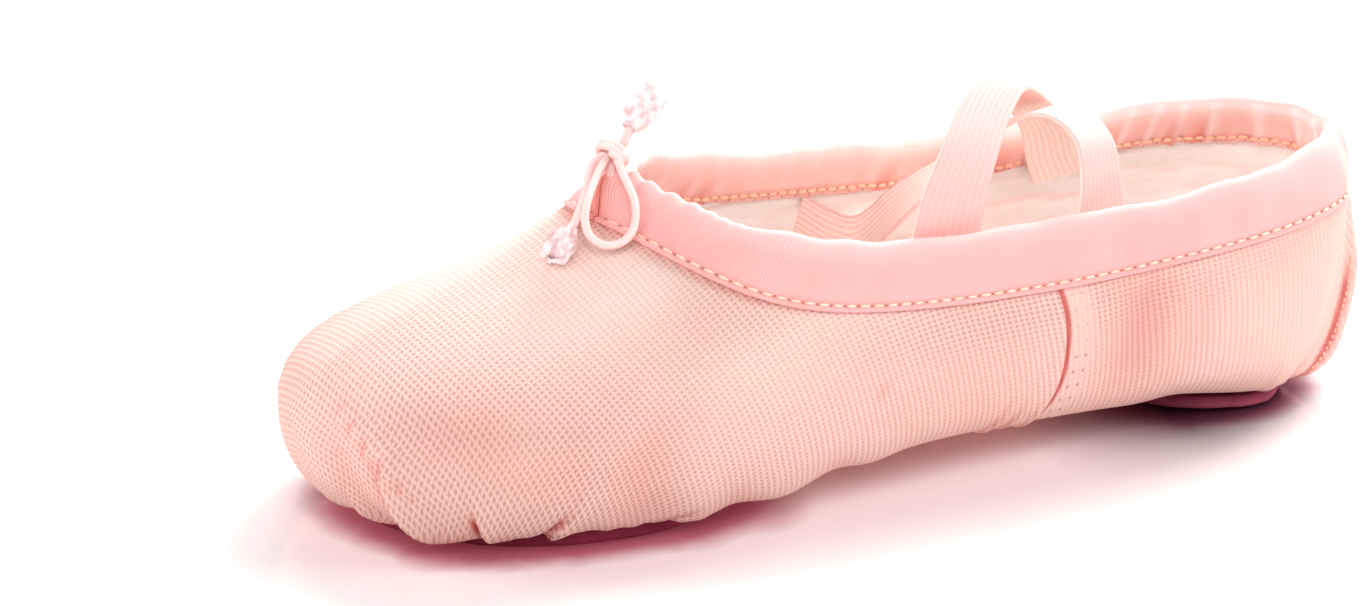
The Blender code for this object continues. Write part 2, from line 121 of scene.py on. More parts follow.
floor_mesh = bpy.data.meshes.new("floor")
floor_corners = [(x * FLOOR_REACH, y * FLOOR_REACH, 0) for x, y in ((-1, -1), (1, -1), (1, 1), (-1, 1))]
floor_mesh.from_pydata(floor_corners, [], [(0, 1, 2, 3)])
floor = bpy.data.objects.new("floor", floor_mesh)
scene.collection.objects.link(floor)
print("lights:", [o.name for o in scene.objects if o.type == "LIGHT"])

# %% [markdown]
# ## Writing finishes as arithmetic
# A material is a net of nodes. To keep its recipe readable, a small class wraps a socket, so that
# `1 - mask * 0.5` adds its own Math nodes. One method makes any other node.

# %% A small language for finishes
class Term:
    """A number that changes over a surface."""

    def __init__(self, finish, socket):
        self.finish, self.socket = finish, socket

    def math(self, operation, *others):
        return self.finish.node("ShaderNodeMath", {"operation": operation}, self, *others)

    def __add__(self, other):
        return self.math("ADD", other)

    def __mul__(self, other):
        return self.math("MULTIPLY", other)

    def __sub__(self, other):
        return self.math("SUBTRACT", other)

    def __rsub__(self, other):
        return self.finish.node("ShaderNodeMath", {"operation": "SUBTRACT"}, other, self)

    __radd__, __rmul__ = __add__, __mul__

    def cos(self):
        return self.math("COSINE")

    def waves(self, pitch):
        """From 1 down to -1 and back, once in each pitch."""
        return (self * (2 * math.pi / pitch)).cos()


class Finish:
    """A material with one Principled shader, and the nodes that feed it."""

    def __init__(self, name, colour, roughness, **fixed):
        self.material = bpy.data.materials.new(name)
        self.material.use_nodes = True
        self.shader = self.material.node_tree.nodes["Principled BSDF"]
        self.shader.inputs["Base Color"].default_value = (*colour, 1)
        self.shader.inputs["Roughness"].default_value = roughness
        for socket, value in fixed.items():
            self.shader.inputs[socket.replace("_", " ")].default_value = value

    def node(self, kind, settings, *values, output=0, **named):
        node = self.material.node_tree.nodes.new(kind)
        for key, value in settings.items():
            setattr(node, key, value)
        sockets = [s for s in node.inputs if s.enabled]
        fed = [*zip(sockets, values), *((node.inputs[k.replace("_", " ")], v) for k, v in named.items())]
        for socket, value in fed:
            if isinstance(value, Term):
                self.material.node_tree.links.new(value.socket, socket)
            elif isinstance(value, tuple) and socket.type == "RGBA":
                socket.default_value = (*value, 1)
            else:
                socket.default_value = value
        return Term(self, [s for s in node.outputs if s.enabled][output])

    def place(self, scale=1.0):
        """The surface's own place in space, in metres, times a scale."""
        spot = self.node("ShaderNodeTexCoord", {}, output=3)
        return self.node("ShaderNodeVectorMath", {"operation": "SCALE"}, spot, Scale=scale)

    def cloth(self, name):
        """The two coordinates of a piece's own UV map, in metres."""
        spot = self.node("ShaderNodeUVMap", {"uv_map": name})
        return tuple(self.node("ShaderNodeSeparateXYZ", {}, spot, output=k) for k in (0, 1))

    def attribute(self, name):
        return self.node("ShaderNodeAttribute", {"attribute_name": name}, output=2)

    def noise(self, vector, scale, detail=2.0, roughness=0.5):
        return self.node("ShaderNodeTexNoise", {}, vector, Scale=scale, Detail=detail, Roughness=roughness)

    def stretch(self, low, high, value):
        return self.node("ShaderNodeMapRange", {}, value, low, high, 0.0, 1.0)

    def mix(self, share, first, second):
        return self.node("ShaderNodeMix", {"data_type": "RGBA"}, share, first, second)

    def blend(self, low, high, value, first, second):
        """From one colour where a value is low to another where it is high."""
        return self.mix(self.stretch(low, high, value), first, second)

    def tint(self, colour, name, other, share=1.0):
        """A colour that goes over to another as far as an attribute of the mesh says."""
        mask = self.attribute(name)
        return self.mix(mask if share == 1.0 else mask * share, colour, other)

    def feed(self, value, socket):
        self.material.node_tree.links.new(value.socket, self.shader.inputs[socket])

    def colour(self, value):
        self.feed(value, "Base Color")

    def glow(self, strength, colour, share=1.0):
        """Painted light: an emission that stands for light which no lamp gives, such as light through thin
        cloth.
        """
        self.shader.inputs["Emission Strength"].default_value = strength
        self.feed(self.mix(share, (0.0, 0.0, 0.0), colour), "Emission Color")

    def relief(self, height, depth):
        """Bump whose height of 1 stands this many metres proud."""
        bump = self.node("ShaderNodeBump", {}, Strength=1.0, Distance=depth, Height=height)
        self.feed(bump, "Normal")


print("a finish is made of", [s for s in Finish.__dict__ if not s.startswith("_")])

# %% [markdown]
# ## Finish of the floor
# So much light falls on a white floor that a shoe's shade is nearly lost on it. Ambient Occlusion tells
# how closed in a place is, so it can bring the shade back: a dark rim where the shoe stands, a faint pink
# glow of light through and off the canvas further out, and a deeper plum under the raised heel.

# %% Finish of the floor
WHITE, RIM, PLUM = (0.93, 0.90, 0.90), (0.45, 0.15, 0.20), (0.10, 0.025, 0.05)
RIM_REACH, SHADE_REACH = 7, 40
white_floor = Finish("white floor", WHITE, 0.07)
near_shoe, round_shoe = (
    white_floor.node("ShaderNodeAmbientOcclusion", {"samples": 16}, Distance=reach * MM, output=1)
    for reach in (RIM_REACH, SHADE_REACH)
)
from_toe = white_floor.node("ShaderNodeSeparateXYZ", {}, white_floor.place(), output=1)
at_heel = white_floor.stretch(35 * MM, 70 * MM, from_toe)
behind_heel = white_floor.stretch(90 * MM, 115 * MM, from_toe)
under_heel = at_heel * (1 - behind_heel) * (1 - white_floor.stretch(0.25, 0.75, round_shoe))
near_colour = white_floor.blend(0.4, 0.95, near_shoe, RIM, WHITE)
white_floor.colour(white_floor.mix(under_heel, near_colour, PLUM))
white_floor.glow(1.0, (0.10, 0.015, 0.02), (1 - at_heel) * (1 - white_floor.stretch(0.3, 0.9, round_shoe)))
floor_mesh.materials.append(white_floor.material)
print("floor shaded within", RIM_REACH, "and", SHADE_REACH, "mm of the shoe")

# %% [markdown]
# ## The drawcord
# One round elastic cord runs inside the collar's tape and comes out at the throat, where it is tied in
# a half bow: one loop, one knot and two ends, each closed by a crimped sleeve of clear film. A cord's
# route comes before its shape, so each run is a smooth curve through a few places, and the tube is
# drawn round it.

# %% Tubes along smooth routes
CORD = 1.7 * MM
BODY = "root"


def weights(f):
    """What each of four neighbours counts for on a Catmull-Rom curve, at a share f between the middle two."""
    before, ahead = (2 * f**2 - f - f**3) / 2, (f**3 - f**2) / 2
    return before, (2 - 5 * f**2 + 3 * f**3) / 2, (f + 4 * f**2 - 3 * f**3) / 2, ahead


def smooth_path(points, steps):
    """A smooth curve through the points, with this many steps between each two."""
    points = np.asarray(points, float)
    ends = np.vstack([2 * points[0] - points[1], points, 2 * points[-1] - points[-2]])
    path = [
        sum(weight * point for weight, point in zip(weights(f), ends[k : k + 4]))
        for k in range(len(points) - 1) for f in np.arange(steps) / steps
    ]
    return np.array([*path, points[-1]])


def rise(start, end, x):
    """Goes smoothly from 0 at the start to 1 at the end."""
    f = np.clip((x - start) / (end - start), 0, 1)
    return f * f * (3 - 2 * f)


def fall(start, end, x):
    """Goes smoothly from 1 at the start to 0 at the end."""
    return 1 - rise(start, end, x)


def hump(x, middle=0.0, width=1.0):
    """A soft bump of height 1."""
    return np.exp(-(((x - middle) / width) ** 2))


def unit(vectors):
    return vectors / np.maximum(np.linalg.norm(vectors, axis=-1, keepdims=True), 1e-12)


def closed(rows):
    """Rows round the foot, with the first one again at the end."""
    return np.concatenate([rows, rows[:1]])


def both_sides(half):
    """Sides all the way round, from the shares of half the way."""
    return np.concatenate([half, -half[-2:0:-1]])


def lengths(path):
    """The distance along a path to each of its points."""
    return np.concatenate([[0], np.cumsum(np.linalg.norm(np.diff(path, axis=0), axis=1))])


# %% [markdown]
# Every piece is a grid of places made into a mesh. Its finish reads numbers that are painted on it,
# and a flat map in metres that says how the cloth lies on it.

# %% Meshes from grids
def mesh_of(name, grid, ring=False, caps=False, flat=None):
    """A mesh over a grid of places, that faces where its rows crossed with its columns point.

    flat is a UV map named cloth: a value for each place, or for each of a face's four corners.
    """
    rows, columns = grid.shape[:2]
    i, j = np.meshgrid(np.arange(rows - 1), np.arange(columns if ring else columns - 1), indexing="ij")
    after = (j + 1) % columns
    low, high = i * columns, (i + 1) * columns
    corners = np.stack([low + j, high + j, high + after, low + after], -1)
    faces = corners.reshape(-1, 4).tolist()
    if caps:
        faces.append(tuple(reversed(range(columns))))
        faces.append(tuple(range((rows - 1) * columns, rows * columns)))
    mesh = bpy.data.meshes.new(name)
    mesh.from_pydata(grid.reshape(-1, 3).tolist(), [], faces)
    if flat is not None:
        if flat.ndim == 3:
            if ring:
                flat = np.concatenate([flat, 2 * flat[:, -1:] - flat[:, -2:-1]], axis=1)
            flat = np.stack([flat[i, j], flat[i + 1, j], flat[i + 1, j + 1], flat[i, j + 1]], 2)
        values = np.zeros((len(mesh.loops), 2), np.float32)
        values[: flat.size // 2] = flat.reshape(-1, 2)
        mesh.uv_layers.new(name="cloth").data.foreach_set("uv", values.ravel())
    mesh.shade_smooth()
    return mesh


def merge(mesh, distance=0.01 * MM):
    """Joins places that coincide, so that seams and poles are closed."""
    tidy = bmesh.new()
    tidy.from_mesh(mesh)
    bmesh.ops.remove_doubles(tidy, verts=tidy.verts, dist=distance)
    bmesh.ops.dissolve_degenerate(tidy, edges=tidy.edges, dist=distance)
    tidy.to_mesh(mesh)
    tidy.free()
    return mesh


def paint(mesh, shape, **layers):
    """Numbers for the places of a mesh, in the shape of its grid, that a finish can read by name."""
    for name, values in layers.items():
        layer = mesh.attributes.new(name, "FLOAT", "POINT")
        layer.data.foreach_set("value", np.broadcast_to(values, shape).astype(np.float32).ravel())


def add_piece(mesh, finish, slot, *nodes):
    """The finished piece: it rides on the shoe's one body and stands for these solids of the model."""
    piece = bpy.data.objects.new(mesh.name, mesh)
    scene.collection.objects.link(piece)
    mesh.materials.append(finish.material)
    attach(piece, BODY)
    if nodes:
        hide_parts(*nodes)
    print(f"{mesh.name}: {len(mesh.polygons)} faces")
    return piece


def thicken(piece, thickness):
    """Gives a skin a wall, on the side away from its face."""
    wall = piece.modifiers.new("Wall", "SOLIDIFY")
    wall.thickness, wall.offset = thickness, -1


# %% Round tubes
def frames_along(path):
    """Two unit directions across a path at each of its points, turned as little as possible."""
    forward = unit(np.gradient(path, axis=0))
    side = np.cross(forward[0], [0.3, 0.2, 1])
    sides = []
    for direction in forward:
        side = unit(side - direction * (side @ direction))
        sides.append(side)
    sides = np.array(sides)
    return sides, np.cross(forward, sides)


def tube(name, path, radius, sides=16):
    """A round tube; its UV map runs along it in metres, and once round it in metres too."""
    one, two = frames_along(path)
    angle = np.linspace(0, 2 * np.pi, sides, endpoint=False)
    radius = np.broadcast_to(radius, len(path))[:, None, None]
    around = np.cos(angle)[None, :, None] * one[:, None] + np.sin(angle)[None, :, None] * two[:, None]
    run = np.repeat(lengths(path)[:, None], sides, axis=1)
    turned = np.repeat((angle / (2 * np.pi) * np.pi * CORD)[None], len(path), axis=0)
    grid = path[:, None] + radius * around
    mesh = mesh_of(name, grid, ring=True, caps=True, flat=np.stack([run, turned], -1))
    # Painted shade: the side of the tube that faces in towards the shoe is painted darker.
    paint(mesh, grid.shape[:2], crevice=rise(0.85, 0.0, around @ [0.74, -0.38, 0.55]))
    return mesh


# %% [markdown]
# The cord is a braided cover over rubber: fine threads wind round it both ways. Its finish lays two
# sets of slanting ribs over each other along the tube's own UV map.

# %% Finish of the cord
cord_finish = Finish("pale pink braided cord", (0.97, 0.74, 0.69), 0.38, Specular_IOR_Level=0.4)
along, around = cord_finish.cloth("cloth")
BRAID_PITCH = 0.55 * MM
braid = (along + around).waves(BRAID_PITCH) * (along - around).waves(BRAID_PITCH) * 0.5 + 0.5
cord_colour = cord_finish.mix(braid, (0.91, 0.60, 0.56), (0.97, 0.79, 0.76))
# The painted shade on the cord is a deep red.
cord_finish.colour(cord_finish.tint(cord_colour, "crevice", (0.80, 0.28, 0.23), 0.8))
cord_finish.relief(braid, 0.06 * MM)

# %% The drawcord's loop, ends, knot and leads
LOOP = [
    (1.1, -51.6, 66.6), (2.0, -53.1, 65.9), (3.3, -54.9, 64.6), (5.4, -57.2, 62.7), (7.6, -59.4, 60.5),
    (9.4, -60.6, 57.9), (11.3, -60.4, 55.5), (13.0, -58.4, 54.1), (13.8, -55.6, 54.3), (13.5, -53.0, 55.7),
    (11.9, -51.2, 58.1), (9.7, -50.4, 60.8), (7.4, -50.5, 63.0), (5.0, -50.6, 64.9), (3.7, -50.6, 66.0),
    (2.2, -50.5, 66.9),
]
ENDS = [
    (8.1, -64.4, 54.5), (6.7, -61.8, 56.2), (5.5, -60.0, 57.9), (3.8, -58.1, 60.1), (1.9, -56.3, 62.2),
    (0.2, -54.7, 64.2), (-0.6, -53.4, 65.4), (-0.7, -51.6, 66.6), (-0.4, -49.7, 67.4), (0.0, -47.8, 68.5),
    (-0.5, -46.8, 69.7), (-0.9, -46.0, 70.7), (-1.3, -45.3, 71.6), (-2.3, -43.3, 73.0),
]
KNOT, KNOT_WIDE, KNOT_TALL = np.array([0.4, -50.3, 66.9]), 2.7, 2.0

loop_path = smooth_path(LOOP, 8) * MM
ends_path = smooth_path(ENDS, 8) * MM
drawcord_loop = add_piece(tube("loop_of_drawcord", loop_path, CORD / 2), cord_finish, "cord", "drawcord_loop")
ends_tube = tube("ends_of_drawcord", ends_path, CORD / 2)
drawcord_ends = add_piece(ends_tube, cord_finish, "cord", "drawcord_end_high", "drawcord_end_low")

# The knot: the cord winds twice round the loop's two limbs and the ends, across the way that they lie.
lie = unit(np.array([0.35, -0.80, -0.50]))
wide = unit(np.cross(lie, [0.3, 0.2, 1]))
tall = np.cross(lie, wide)
turns = np.linspace(-0.35, 1.75, 60) * 2 * np.pi
slip = np.linspace(-1.0, 1.1, 60)
knot_path = KNOT + np.outer(slip, lie)
knot_path += np.outer(np.cos(turns) * KNOT_WIDE, wide) + np.outer(np.sin(turns) * KNOT_TALL, tall)
knot_tube = tube("knot_of_drawcord", knot_path * MM, CORD / 2 * 0.95)
knot_piece = add_piece(knot_tube, cord_finish, "cord", "drawcord_knot")

for side in (-1, 1):
    route = [(side, -50.9, 61.6), (side, -50.8, 63.2), (side * 0.9, -50.5, 64.8), (0.4, -50.3, 66.4)]
    lead = tube(f"lead_of_drawcord_{'left' if side < 0 else 'right'}", smooth_path(route, 6) * MM, CORD / 2)
    add_piece(lead, cord_finish, "cord")
print("loop", round(lengths(loop_path)[-1] / MM, 1), "mm, ends", round(lengths(ends_path)[-1] / MM, 1), "mm")

# %% [markdown]
# Each end wears a short sleeve of clear film, crimped with heat. It is whitish, crumpled and partly
# see-through: a flared tube through a list of rings, then dented by a fixed pattern of noise.

# %% Crimped film on the two ends
film_finish = Finish("crumpled clear film", (0.98, 0.93, 0.92), 0.3, Coat_Weight=0.2)
crumple = film_finish.noise(film_finish.place(), 520.0, 3.0)
film_finish.colour(film_finish.blend(0.35, 0.62, crumple, (0.86, 0.58, 0.58), (0.96, 0.83, 0.84)))
film_finish.relief(crumple, 0.3 * MM)
clear_share = film_finish.stretch(0.30, 0.60, crumple) * 0.45 + 0.5
film_finish.feed(clear_share, "Alpha")

Ring = namedtuple("Ring", "along radius")
SLEEVE = [Ring(*pair) for pair in [
    (-0.62, 0.42), (-0.5, 0.5), (-0.4, 0.75), (-0.2, 1.0), (0.0, 1.05), (0.2, 0.95), (0.36, 0.98),
    (0.5, 0.9), (0.56, 0.6), (0.5, 0.25),
]]
SLEEVE_LENGTH, SLEEVE_RADIUS = 7.0 * MM, 2.5 * MM


def add_sleeve(name, node, middle, direction, size, seed):
    """A crumpled sleeve at a place in mm, that opens along a direction."""
    chance = np.random.default_rng(seed)
    axis = unit(np.array(direction))
    side = unit(np.cross(axis, [0, 0, 1]))
    other = np.cross(axis, side)
    fine = smooth_path([(ring.along, ring.radius, 0) for ring in SLEEVE], 3)
    angle = np.linspace(0, 2 * np.pi, 28, endpoint=False)
    folds = 0
    for k in (2, 3, 5, 7):
        deep, start, slant = chance.uniform(0.06, 0.16), chance.uniform(0, 6), chance.uniform(-5, 5)
        folds = folds + deep * np.cos(k * angle[None] + start + fine[:, :1] * slant)
    radius = (fine[:, 1:2] * (1 + folds) * SLEEVE_RADIUS * size)[..., None]
    centre = np.array(middle) * MM + np.outer(fine[:, 0] * SLEEVE_LENGTH * size, axis)
    around = np.cos(angle)[:, None] * side + np.sin(angle)[:, None] * other
    grid = centre[:, None] + radius * around
    grid += axis * (chance.normal(0, 0.12, angle.shape)[None, :, None] * MM * (fine[:, :1, None] > 0.3))
    return add_piece(mesh_of(name, grid, ring=True, caps=True), film_finish, "cord_tip", node)


sleeves = [
    add_sleeve("film_sleeve_high", "cord_tip_high", (-2.9, -42.0, 73.6), (-0.42, 0.80, 0.48), 1.25, 3),
    add_sleeve("film_sleeve_low", "cord_tip_low", (8.5, -65.1, 53.9), (0.42, -0.78, -0.52), 1.0, 8),
]

# %% [markdown]
# ## The last as a surface
# Everything sewn over the foot follows one surface, the outside of the canvas. It is drawn as the
# model draws it: a short table of stations from the toe to the heel, four smooth lines through them,
# and ribs between those lines. Here `around` runs from 0 at the toe to 1 at the heel.

# %% The last
LENGTH, BALL_WIDTH, INSTEP_HEIGHT, HEEL_HEIGHT = 232 * MM, 77 * MM, 64 * MM, 52 * MM
Station = namedtuple("Station", "name feather widest crown collar")
LAST = [Station(*row) for row in [
    ("toe", (0.079, 0, 0.045), (0.000, 0, 0.346), (0.141, 0, 0.645), (0.293, 0, 1.055)),
    ("toe side", (0.101, 0.39, 0.038), (0.036, 0.58, 0.346), (0.171, 0.33, 0.643), (0.317, 0.16, 1.010)),
    ("toe corner", (0.161, 0.65, 0.046), (0.112, 0.92, 0.364), (0.236, 0.48, 0.630), (0.341, 0.39, 0.983)),
    ("ball front", (0.263, 0.80, 0.058), (0.231, 1.02, 0.347), (0.317, 0.71, 0.610), (0.375, 0.59, 0.948)),
    ("ball", (0.379, 0.80, 0.100), (0.362, 1.00, 0.344), (0.416, 0.82, 0.602), (0.440, 0.68, 0.902)),
    ("waist front", (0.511, 0.67, 0.155), (0.500, 0.92, 0.348), (0.530, 0.82, 0.606), (0.543, 0.69, 0.887)),
    ("waist", (0.655, 0.59, 0.150), (0.642, 0.84, 0.386), (0.655, 0.80, 0.666), (0.668, 0.63, 0.890)),
    ("quarter", (0.784, 0.59, 0.124), (0.776, 0.79, 0.438), (0.782, 0.74, 0.742), (0.800, 0.59, 0.928)),
    ("heel side", (0.894, 0.53, 0.071), (0.916, 0.63, 0.483), (0.918, 0.58, 0.831), (0.913, 0.41, 0.982)),
    ("heel", (0.944, 0, 0.103), (0.998, 0, 0.529), (0.999, 0, 0.896), (0.979, 0, 1.003)),
]]
LOW_FULLNESS, HIGH_FULLNESS, TOE_FULLNESS, TOE_ROUND = 0.6, 0.6, 0.4, 0.33
BALL_END, ARCH_FRONT, ARCH_BACK, HEEL_START = -50 * MM, 8 * MM, 40 * MM, 76 * MM
ARCH_RISE, HEEL_FLAT_END, HEEL_TUCK = 6.0 * MM, 87 * MM, 2.6 * MM
SUEDE, GAP = 2.2 * MM, 0.3 * MM
TAPE_DEPTH = 13 * MM
MIRROR = np.array([-1.0, 1.0, 1.0])


def station_points(line):
    along, out, up = np.array([getattr(row, line) for row in LAST], float).T
    height = INSTEP_HEIGHT + (HEEL_HEIGHT - INSTEP_HEIGHT) * along
    return np.stack([out * BALL_WIDTH / 2, (along - 0.5) * LENGTH, up * height], axis=1)


def rail(line, around):
    """The line at each share of the way round: a cubic B-spline that goes on as its own mirror image."""
    knots = station_points(line)
    last = len(knots) - 1
    control = np.zeros_like(knots)
    for axis, sign in enumerate(MIRROR):
        weights = np.zeros((last + 1, last + 1))
        for i in range(last + 1):
            weights[i, i] += 4
            for j in (i - 1, i + 1):
                inside = 0 <= j <= last
                weights[i, j if inside else 2 * (0 if j < 0 else last) - j] += 1 if inside else sign
        control[:, axis] = np.linalg.solve(weights / 6, knots[:, axis])
    padded = np.vstack([control[1] * MIRROR, control, control[-2] * MIRROR, control[-2] * MIRROR])
    place = np.clip(around, 0, 1) * last
    i = np.minimum(place.astype(int), last - 1)
    f = (place - i)[:, None]
    a, b, c, d = padded[i], padded[i + 1], padded[i + 2], padded[i + 3]
    return (
        (1 - f) ** 3 * a + (3 * f**3 - 6 * f**2 + 4) * b + (-3 * f**3 + 3 * f**2 + 3 * f + 1) * c + f**3 * d
    ) / 6


def bezier(a, b, c, d, steps):
    s = np.asarray(steps)[None, :, None]
    a, b, c, d = (p[:, None, :] for p in (a, b, c, d))
    return (1 - s) ** 3 * a + 3 * (1 - s) ** 2 * s * b + 3 * (1 - s) * s**2 * c + s**3 * d


def under_canvas(x, y):
    """Height of the canvas under the foot: level, arched at the waist, up towards its edge."""
    edge = rail("feather", np.linspace(0, 1, 200))
    edge_out = np.maximum(np.interp(y, edge[:, 1], edge[:, 0]), 4 * MM)
    edge_up = np.interp(y, edge[:, 1], edge[:, 2])
    arch = rise(BALL_END, ARCH_FRONT, y) * fall(ARCH_BACK, HEEL_START, y)
    tuck = rise(HEEL_FLAT_END, edge[-1, 1], y)
    middle = SUEDE + GAP + ARCH_RISE * arch + HEEL_TUCK * tuck
    return middle + (edge_up - middle) * np.clip(abs(x) / edge_out, 0, 1) ** 2


def ribs(around, steps=48):
    """Each rib from the turn under the foot up to the collar's edge, as ribs by steps."""
    feather, widest, crown, collar = (rail(line, around) for line in Station._fields[1:])
    level = (widest - feather) * [1, 1, 0]
    plumb = np.array([0, 0, 1.0])
    low_rise = LOW_FULLNESS * (widest - feather)[:, 2:] * plumb
    toe = (1 - np.clip(around / TOE_ROUND, 0, 1)) ** 2
    high_rise = (HIGH_FULLNESS + TOE_FULLNESS * toe)[:, None] * (crown - widest)[:, 2:] * plumb
    share = np.linspace(0, 1, steps)
    lower = bezier(feather, feather + LOW_FULLNESS * level, widest - low_rise, widest, share)
    upper = bezier(widest, widest + high_rise, crown, collar, share)
    return np.concatenate([lower, upper[:, 1:]], axis=1)


# %% [markdown]
# A shoemaker measures from two edges: up from the turn under the foot, and down from the collar. The
# class below holds the whole surface, both sides of the foot, and answers with places and directions
# at any distance from either edge. `side` runs from -1 to 1: its size is `around`, and its sign says
# left or right.

# %% Places on the shoe
class Shell:
    """The outside of the canvas, all the way round: one rib for each value of side."""

    def __init__(self, side):
        self.side = np.asarray(side, float)
        self.curves = ribs(np.abs(self.side)) * np.where(self.side < 0, -1.0, 1.0)[:, None, None] ** [1, 0, 0]
        step = np.linalg.norm(np.diff(self.curves, axis=1), axis=2)
        self.run = np.concatenate([np.zeros((len(self.side), 1)), np.cumsum(step, axis=1)], axis=1)
        self.height = self.run[:, -1]
        along = np.gradient(np.concatenate([self.curves[-1:], self.curves, self.curves[:1]]), axis=0)[1:-1]
        across = np.gradient(self.curves, axis=1)
        self.normals = unit(np.cross(along, across))

    def at(self, ups, out=0.0):
        """Places at these distances up from the turn under the foot, a row for each rib, moved outwards."""
        ups = np.broadcast_to(ups, (len(self.side), np.shape(ups)[-1]))
        place, normal = (
            np.array([[np.interp(u, r, c[:, k]) for k in range(3)] for u, r, c in zip(ups, self.run, source)])
            for source in (self.curves, self.normals)
        )
        place, normal = place.transpose(0, 2, 1), normal.transpose(0, 2, 1)
        return place + normal * np.asarray(out)[..., None]

    def wall(self, ups):
        """One place on each rib, each at its own distance up, and the direction outwards there."""
        place, far = (np.array([self.at([u], out)[k, 0] for k, u in enumerate(ups)]) for out in (0.0, 1.0))
        return place, far - place

    def below(self, depths, out=0.0):
        """Places at these depths below the collar's edge."""
        return self.at(self.height[:, None] - depths, out)


HALF_RIBS = 330
SIDE_SEAM = 0.665
Crowd = namedtuple("Crowd", "around reach more")
CROWDS = [
    Crowd(0.11, 0.02, 1.0), Crowd(0.19, 0.012, 2.0), Crowd(0.255, 0.02, 2.0), Crowd(SIDE_SEAM, 0.008, 5.0),
    Crowd(0.96, 0.03, 2.0),
]


def rib_places(count):
    """Shares of the way round, closer together where folds and seams are."""
    fine = np.linspace(0, 1, 4001)
    crowd = 1 + sum(c.more * hump(fine, c.around, c.reach) for c in CROWDS)
    run = np.concatenate([[0], np.cumsum((crowd[1:] + crowd[:-1]) / 2)])
    places = np.interp(np.linspace(0, run[-1], count), run, fine)
    places[np.abs(places - SIDE_SEAM).argmin()] = SIDE_SEAM
    return places


half = rib_places(HALF_RIBS)
ring_side = both_sides(half)
shell = Shell(ring_side)
widest_run = lengths(rail("widest", half)) / MM
print("ribs:", len(ring_side), "way round half the foot in mm:", round(widest_run[-1]))

# %% [markdown]
# ## Flat patterns
# Canvas is woven flat, cut, and pulled over a last, so its threads don't follow the ribs of the last.
# Each panel gets a wish for the way its lengthwise threads lie: along the foot at the waist, rising
# over the toe's side, level on the quarter. The flat places that come nearest to that wish, without
# tearing, are the solution of one set of linear equations.

# %% Lay a panel flat
def lay_flat(surface, wish, rounds=30, heed=0.12):
    """Flat places, in metres, for a grid of places, with the first axis near the wish(middles, normals).

    Each round keeps the threads' spacing at its true size, and heeds the wish a little.
    """
    rows, columns = surface.shape[:2]
    a = np.arange(rows * columns).reshape(rows, columns)[:-1, :-1].ravel()
    b, c, d = a + columns, a + columns + 1, a + 1
    triangles = np.concatenate([np.stack([a, b, c], 1), np.stack([a, c, d], 1)])
    place = surface.reshape(-1, 3)
    corners = place[triangles]
    normal = np.cross(corners[:, 1] - corners[:, 0], corners[:, 2] - corners[:, 0])
    double = np.linalg.norm(normal, axis=1, keepdims=True)
    normal = normal / double
    first = wish(corners.mean(1), normal)
    first = unit(first - normal * (first * normal).sum(1, keepdims=True))
    wished = [first, np.cross(normal, first)]
    pull, sides, slopes = np.zeros((len(place), len(place))), [], []
    for k in range(3):
        one, two, far = (triangles[:, (k + turn) % 3] for turn in range(3))
        u, v = place[one] - place[far], place[two] - place[far]
        weight = np.clip((u * v).sum(1) / np.linalg.norm(np.cross(u, v), axis=1), 0.02, 20)
        for here, there, value in ((one, one, 1), (two, two, 1), (one, two, -1), (two, one, -1)):
            np.add.at(pull, (here, there), value * weight)
        sides.append((one, two, (place[one] - place[two]) * weight[:, None]))
        slopes.append((far, np.cross(normal, place[two] - place[one]) / double))
    pull[0, 0] += 1
    solve = np.linalg.inv(pull)
    flat = []
    for start in wished:
        target = start
        for _ in range(rounds):
            want = np.zeros(len(place))
            for one, two, edge in sides:
                np.add.at(want, one, (edge * target).sum(1))
                np.add.at(want, two, -(edge * target).sum(1))
            value = solve @ want
            slope = sum(value[far][:, None] * steepness for far, steepness in slopes)
            target = unit((1 - heed) * unit(slope) + heed * start)
        flat.append(value)
    return np.stack(flat, 1).reshape(rows, columns, 2)


def sample(grid, i, j):
    """Values between a grid's own rows and columns, by a Catmull-Rom surface."""
    padded = np.pad(grid, ((1, 2), (1, 2), (0, 0)), mode="reflect", reflect_type="odd")
    a, b = (np.clip(np.floor(x), 0, size - 1).astype(int) for x, size in zip((i, j), grid.shape))
    return sum(
        (across * along)[..., None] * padded[a + m, b + n]
        for m, across in enumerate(weights(i - a)) for n, along in enumerate(weights(j - b))
    )


def along_vamp(middles, normals):
    climb = 0.74 * fall(-65 * MM, 25 * MM, middles[:, 1])
    return np.stack([0 * climb, 1 + 0 * climb, climb], 1)


def along_quarter(middles, normals):
    return np.cross([0, 0, 1], normals) + [0, 0, 0.06]


PATTERN_STEPS, VAMP_RIBS, QUARTER_RIBS = 17, 67, 25
OVERLAP = 0.012
climb = np.linspace(0, 1, PATTERN_STEPS)
VAMP_SPAN, QUARTER_SPAN = (-SIDE_SEAM - OVERLAP, SIDE_SEAM + OVERLAP), (SIDE_SEAM - OVERLAP, 1)
patterns = []
for name, span, count, wish in (
    ("vamp", VAMP_SPAN, VAMP_RIBS, along_vamp), ("quarter", QUARTER_SPAN, QUARTER_RIBS, along_quarter),
):
    panel = Shell(np.linspace(*span, count))
    surface = panel.at(panel.height[:, None] * climb)
    flat = lay_flat(surface, wish)
    patterns.append(flat)
    for axis, way in ((0, "along"), (1, "up")):
        laid, true = (np.linalg.norm(np.diff(grid, axis=axis), axis=2) for grid in (flat, surface))
        share = np.percentile(laid / true, [5, 50, 95]).round(2)
        print(f"{name}: {way} the ribs, laid flat to {share} of the true length")
